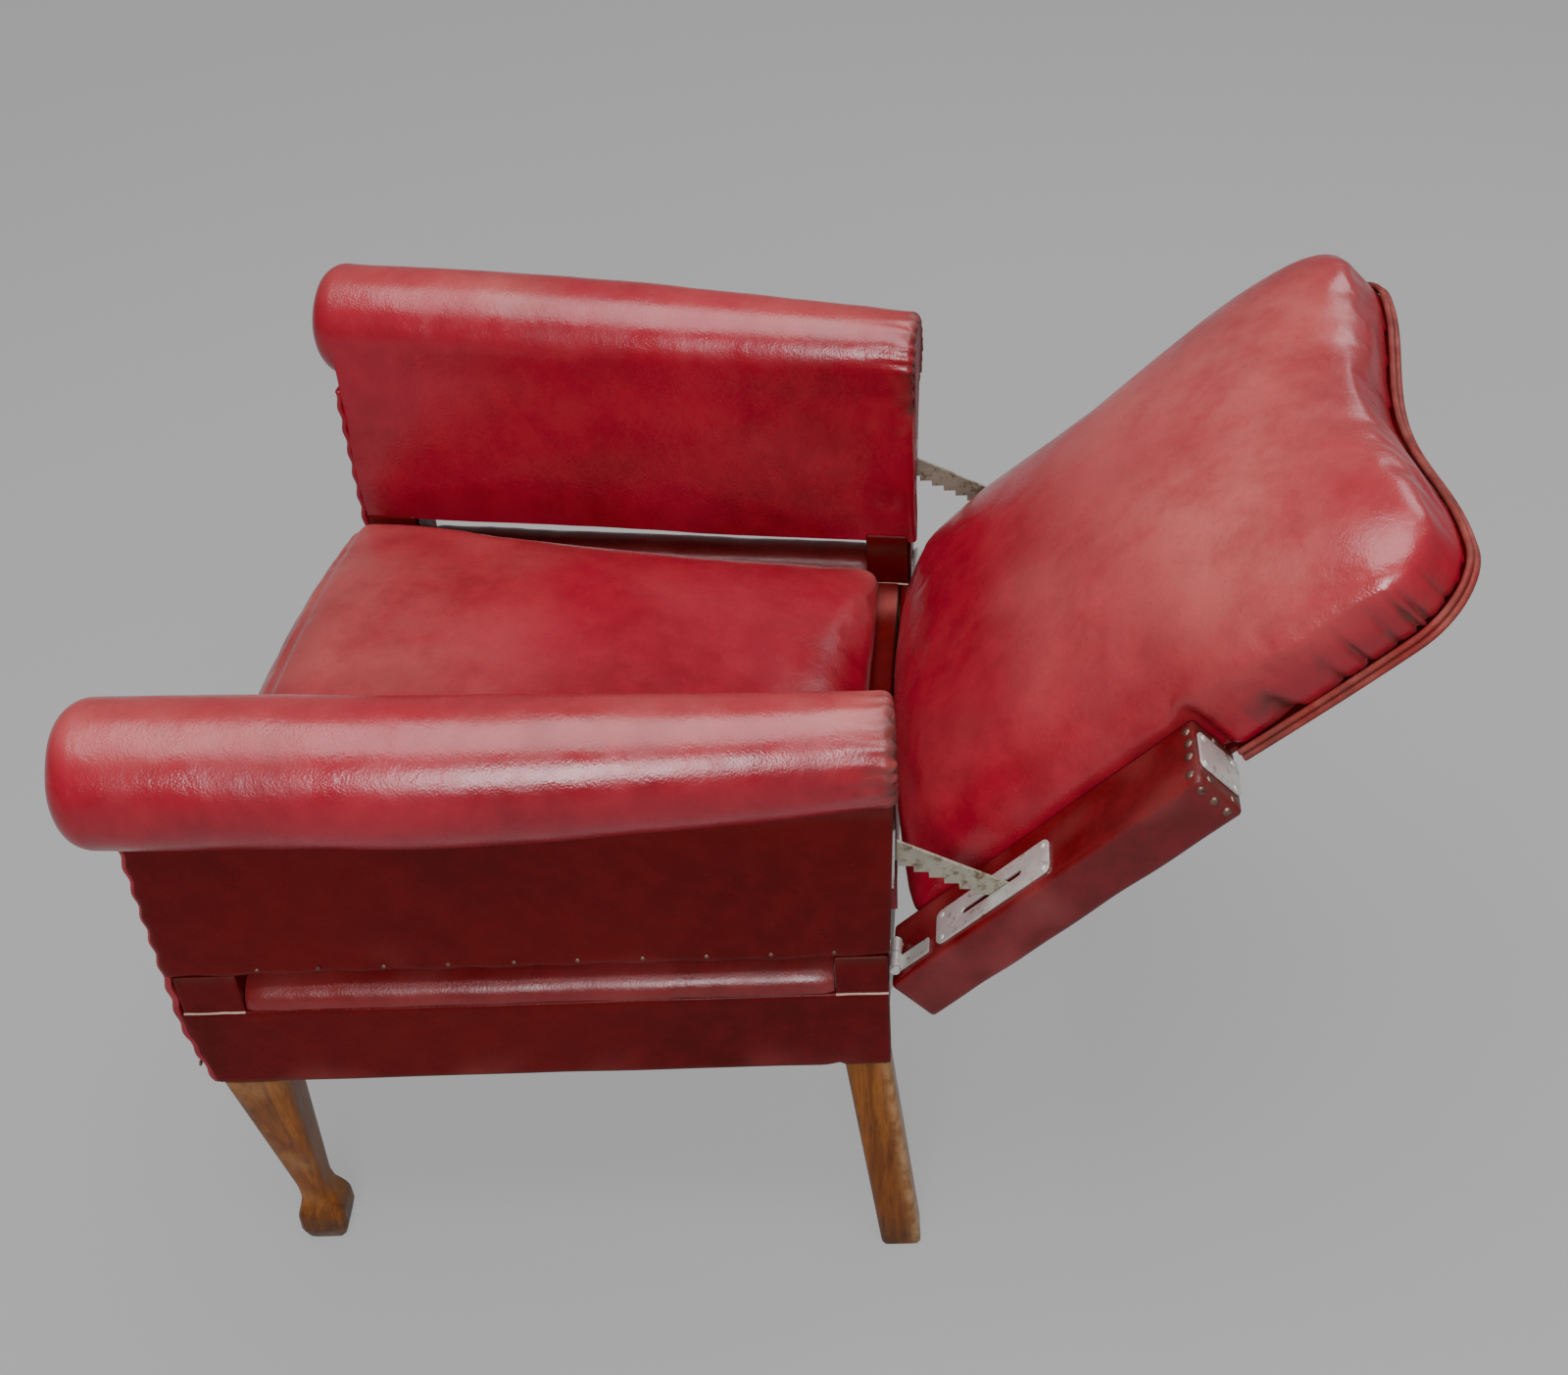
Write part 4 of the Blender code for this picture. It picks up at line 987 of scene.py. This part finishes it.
def plate_mesh(width, height, corner, slot=None):
    """A 2 mm plate in XY with round corners and, if given, a round-ended slot (half width, half height)."""
    def rounded(w, h, r):
        corners = ((w - r, h - r, 0), (-w + r, h - r, 90), (-w + r, -h + r, 180), (w - r, -h + r, 270))
        return [(x + r * math.cos(math.radians(a + 15 * i)), y + r * math.sin(math.radians(a + 15 * i)), 0)
                for x, y, a in corners for i in range(7)]

    rim = 0.0003
    curve = bpy.data.curves.new("plate", "CURVE")
    curve.dimensions = "2D"
    curve.fill_mode = "BOTH"
    curve.extrude = 0.0010 - rim
    curve.bevel_depth = rim
    curve.bevel_resolution = 2
    loops = [rounded(width / 2 - rim, height / 2 - rim, corner)]
    if slot:
        loops.append(rounded(*slot, slot[0] - 0.00001)[::-1])
    return from_curve("plate", curve, loops, True, 35)


def screw(radius):
    """A raised countersunk screw head with a slot, at the origin, facing +Z."""
    bm = bmesh.new()
    bmesh.ops.create_uvsphere(bm, u_segments=20, v_segments=10, radius=radius)
    bmesh.ops.transform(bm, matrix=Matrix.Diagonal((1, 1, 0.34, 1)), verts=bm.verts)
    head = finish_mesh("head", bm)
    bm = bmesh.new()
    bmesh.ops.create_cube(bm, size=1.0, matrix=Matrix.Translation((0, 0, radius * 0.3))
                          @ Matrix.Diagonal((radius * 3, radius * 0.28, radius * 0.30, 1)))
    return cut_by(head, finish_mesh("groove", bm))


def screwed_plate(name, side, plate, y, z, axes, spots, radius):
    """A plate on axes at y and z in the back's frame, with a screw's head at each (x, y, turn)."""
    node = f"{name}_{side}"
    centre = back_point(sum(corner.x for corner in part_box(node)) / 2, y, z)
    stand = Matrix(axes).transposed().to_4x4()
    plate.matrix_world = Matrix.Translation(centre) @ stand
    made = [plate]
    for right, up, turn in spots:
        head = screw(radius)
        place = centre + axes[0] * right + axes[1] * up + axes[2] * 0.0010
        head.matrix_world = Matrix.Translation(place) @ stand @ Matrix.Rotation(turn, 4, "Z")
        made.append(head)
    settle(joined(f"{name}_steel_{side}", made, 35), "backrest", PLATE, (node,))


def plates(side):
    """Slot plate on the post's face and end plate on its top, each held by screws in its corners."""
    across, face = Vector((1, 0, 0)), back_point(0, -1, 0) - back_point(0, 0, 0)
    up = back_point(0, 0, 1) - back_point(0, 0, 0)
    screwed_plate("slot_plate", side, plate_mesh(0.0360, 0.1200, 0.0060, (0.0035, 0.0320)),
                  POST_FACE - 0.0013, 0.1020, (across, up, face),
                  [(x, y, 0.7 + 40000 * x * y) for x in (-0.0125, 0.0125) for y in (-0.0540, 0.0540)], 0.0026)
    screwed_plate("end_plate", side, plate_mesh(0.0380, 0.0440, 0.0045),
                  POST_FACE + 0.0240, POST_HIGH + 0.0014, (across, -face, up),
                  [(x, y, 60 * x + 90 * y) for y in (-0.0165, 0.0165) for x in (-0.0140, 0.0140)], 0.0028)


# Legs
def leg_loft(name, s, levels, corner):
    """Square leg with eased corners through levels of height, half width, and the middle's x and y."""
    heights = [level[0] for level in levels]
    rings = []
    for i in range(61):
        z = heights[0] + (heights[-1] - heights[0]) * i / 60
        half, mx, my = (float(np.interp(z, heights, [level[k] for level in levels])) for k in (1, 2, 3))
        ring = []
        for j in range(32):
            a = 2 * math.pi * (j + 0.5) / 32
            c, t = math.cos(a), math.sin(a)
            reach = (abs(c) ** corner + abs(t) ** corner) ** (-1 / corner)
            ring.append(arm_point(s, mx + half * reach * c, my + half * reach * t, z))
        rings.append(ring)
    return loft(name, rings, 50)


def legs(side, s):
    """Tapered front leg with a spade foot, and square raked rear leg."""
    top = LEG_TOP - 0.0004
    x, y = 0.0285, 0.0360 - ARM_LENGTH
    levels = ((0.0, 0.0150, x - 0.0110, y + 0.013), (0.005, 0.0180, x - 0.0110, y + 0.013),
              (0.016, 0.0212, x - 0.0110, y + 0.013), (0.034, 0.0208, x - 0.0110, y + 0.013),
              (0.044, 0.0172, x - 0.0110, y + 0.013), (0.054, 0.0136, x - 0.0108, y + 0.012),
              (0.068, 0.0127, x - 0.0100, y + 0.0105), (top, 0.0262, x, y))
    front = leg_loft(f"front_leg_wood_{side}", s, levels, 9.0)
    painted(front, lambda p: 0.35 * blotch(p, 0.04, 5.0),
            lambda p: max(0.0, 1 - p.z / 0.055) + 0.25 * blotch(p, 0.03, 2.0))
    settle(front, "base", LEG_WOOD, (f"front_leg_{side}",))
    levels = ((0.0, 0.0172, x + 0.0100, 0.0035), (0.003, 0.0176, x + 0.0099, 0.0032), (top, 0.0188, x, -0.0205))
    rear = leg_loft(f"rear_leg_wood_{side}", s, levels, 10.0)
    rear_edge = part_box(f"rear_leg_{side}")[1].y
    painted(rear, lambda p: 0.55 * bump_at(p.y, rear_edge - 0.1 * p.z, 0.006),
            lambda p: 0.9 * max(0.0, 1 - p.z / 0.040) + 0.25 * blotch(p, 0.03, 4.0))
    settle(rear, "base", LEG_WOOD, (f"rear_leg_{side}",))


# Pieces that keep their CAD shape
def carried_over():
    """Finishes for nodes that stay. The posts show through gaps in their wraps, so they're leather too, in the
    painted-shade copy.
    """
    finishes = {"frame_timber": FRAME_WOOD, "plate_steel": PLATE, "bar_steel": BAR, "jute_webbing": JUTE,
                "spring_steel": SPRING}
    for row in frame["record"]["subparts"]:
        node = frame["nodes"][row["node"]]
        finish = finishes.get(row["material_slot"])
        if "_post_" in row["node"]:
            finish = SHADED
        if finish and not node.hide_render:
            node.data.materials.clear()
            node.data.materials.append(finish)


# Stage
def stage():
    """Soft grey floor, white surroundings and three square lamps."""
    bpy.ops.mesh.primitive_plane_add(size=30.0, location=(0, 0, 0))
    floor = bpy.context.object
    floor.name = "floor"
    paint = bpy.data.materials.new("floor_paint")
    paint.use_nodes = True
    shader = paint.node_tree.nodes["Principled BSDF"]
    shader.inputs["Base Color"].default_value = (0.10, 0.10, 0.10, 1)
    shader.inputs["Roughness"].default_value = 1.0
    shader.inputs["Specular IOR Level"].default_value = 0.0
    shader.inputs["Emission Color"].default_value = (1, 1, 1, 1)
    shader.inputs["Emission Strength"].default_value = 0.35
    floor.data.materials.append(paint)
    world = bpy.data.worlds.new("studio")
    bpy.context.scene.world = world
    world.use_nodes = True
    world.node_tree.nodes["Background"].inputs[0].default_value = (1.0, 1.0, 1.0, 1)
    world.node_tree.nodes["Background"].inputs[1].default_value = 0.16
    for name, place, target, size, power in (
            ("overhead", (0.2, 0.0, 3.2), (0, 0, 0.4), 2.6, 125),
            ("window", (2.6, 0.1, 1.95), (0, 0, 0.5), 1.15, 74),
            ("far_fill", (-1.6, 1.6, 2.1), (0, 0, 0.4), 1.2, 18)):
        light = bpy.data.lights.new(name, "AREA")
        light.shape = "SQUARE"
        light.size = size
        light.energy = power
        lamp = bpy.data.objects.new(name, light)
        lamp.location = place
        lamp.rotation_euler = (Vector(target) - Vector(place)).to_track_quat("-Z", "Y").to_euler()
        bpy.context.scene.collection.objects.link(lamp)


def camera():
    """The camera on the chair's left, looking down over the near arm."""
    azimuth, elevation, roll = (math.radians(a) for a in (97.3171, 37.666, -4.0421))
    back = Vector((math.sin(azimuth) * math.cos(elevation), -math.cos(azimuth) * math.cos(elevation),
                   math.sin(elevation)))
    right = (-back).cross(Vector((0, 0, 1))).normalized()
    up = right.cross(-back)
    turned = right * math.cos(roll) + up * math.sin(roll)
    above = -right * math.sin(roll) + up * math.cos(roll)
    lens = bpy.data.cameras.new("camera")
    lens.lens = 44.885
    lens.sensor_width = 36.0
    eye = bpy.data.objects.new("camera", lens)
    eye.matrix_world = Matrix.Translation((1.38382, 0.16321, 1.46287)) @ Matrix(
        (turned, above, back)).transposed().to_4x4()
    bpy.context.scene.collection.objects.link(eye)
    bpy.context.scene.camera = eye


camera()
stage()
for side, s in SIDES:
    arm_cover(side, s)
    arm_panel(side, s)
    arm_edges(side, s)
    arm_nails(side, s)
    base_side(side, s)
    legs(side, s)
    back_post(side, s)
    plates(side)
base_ends()
seat()
back_cushion()
back_edging()
carried_over()
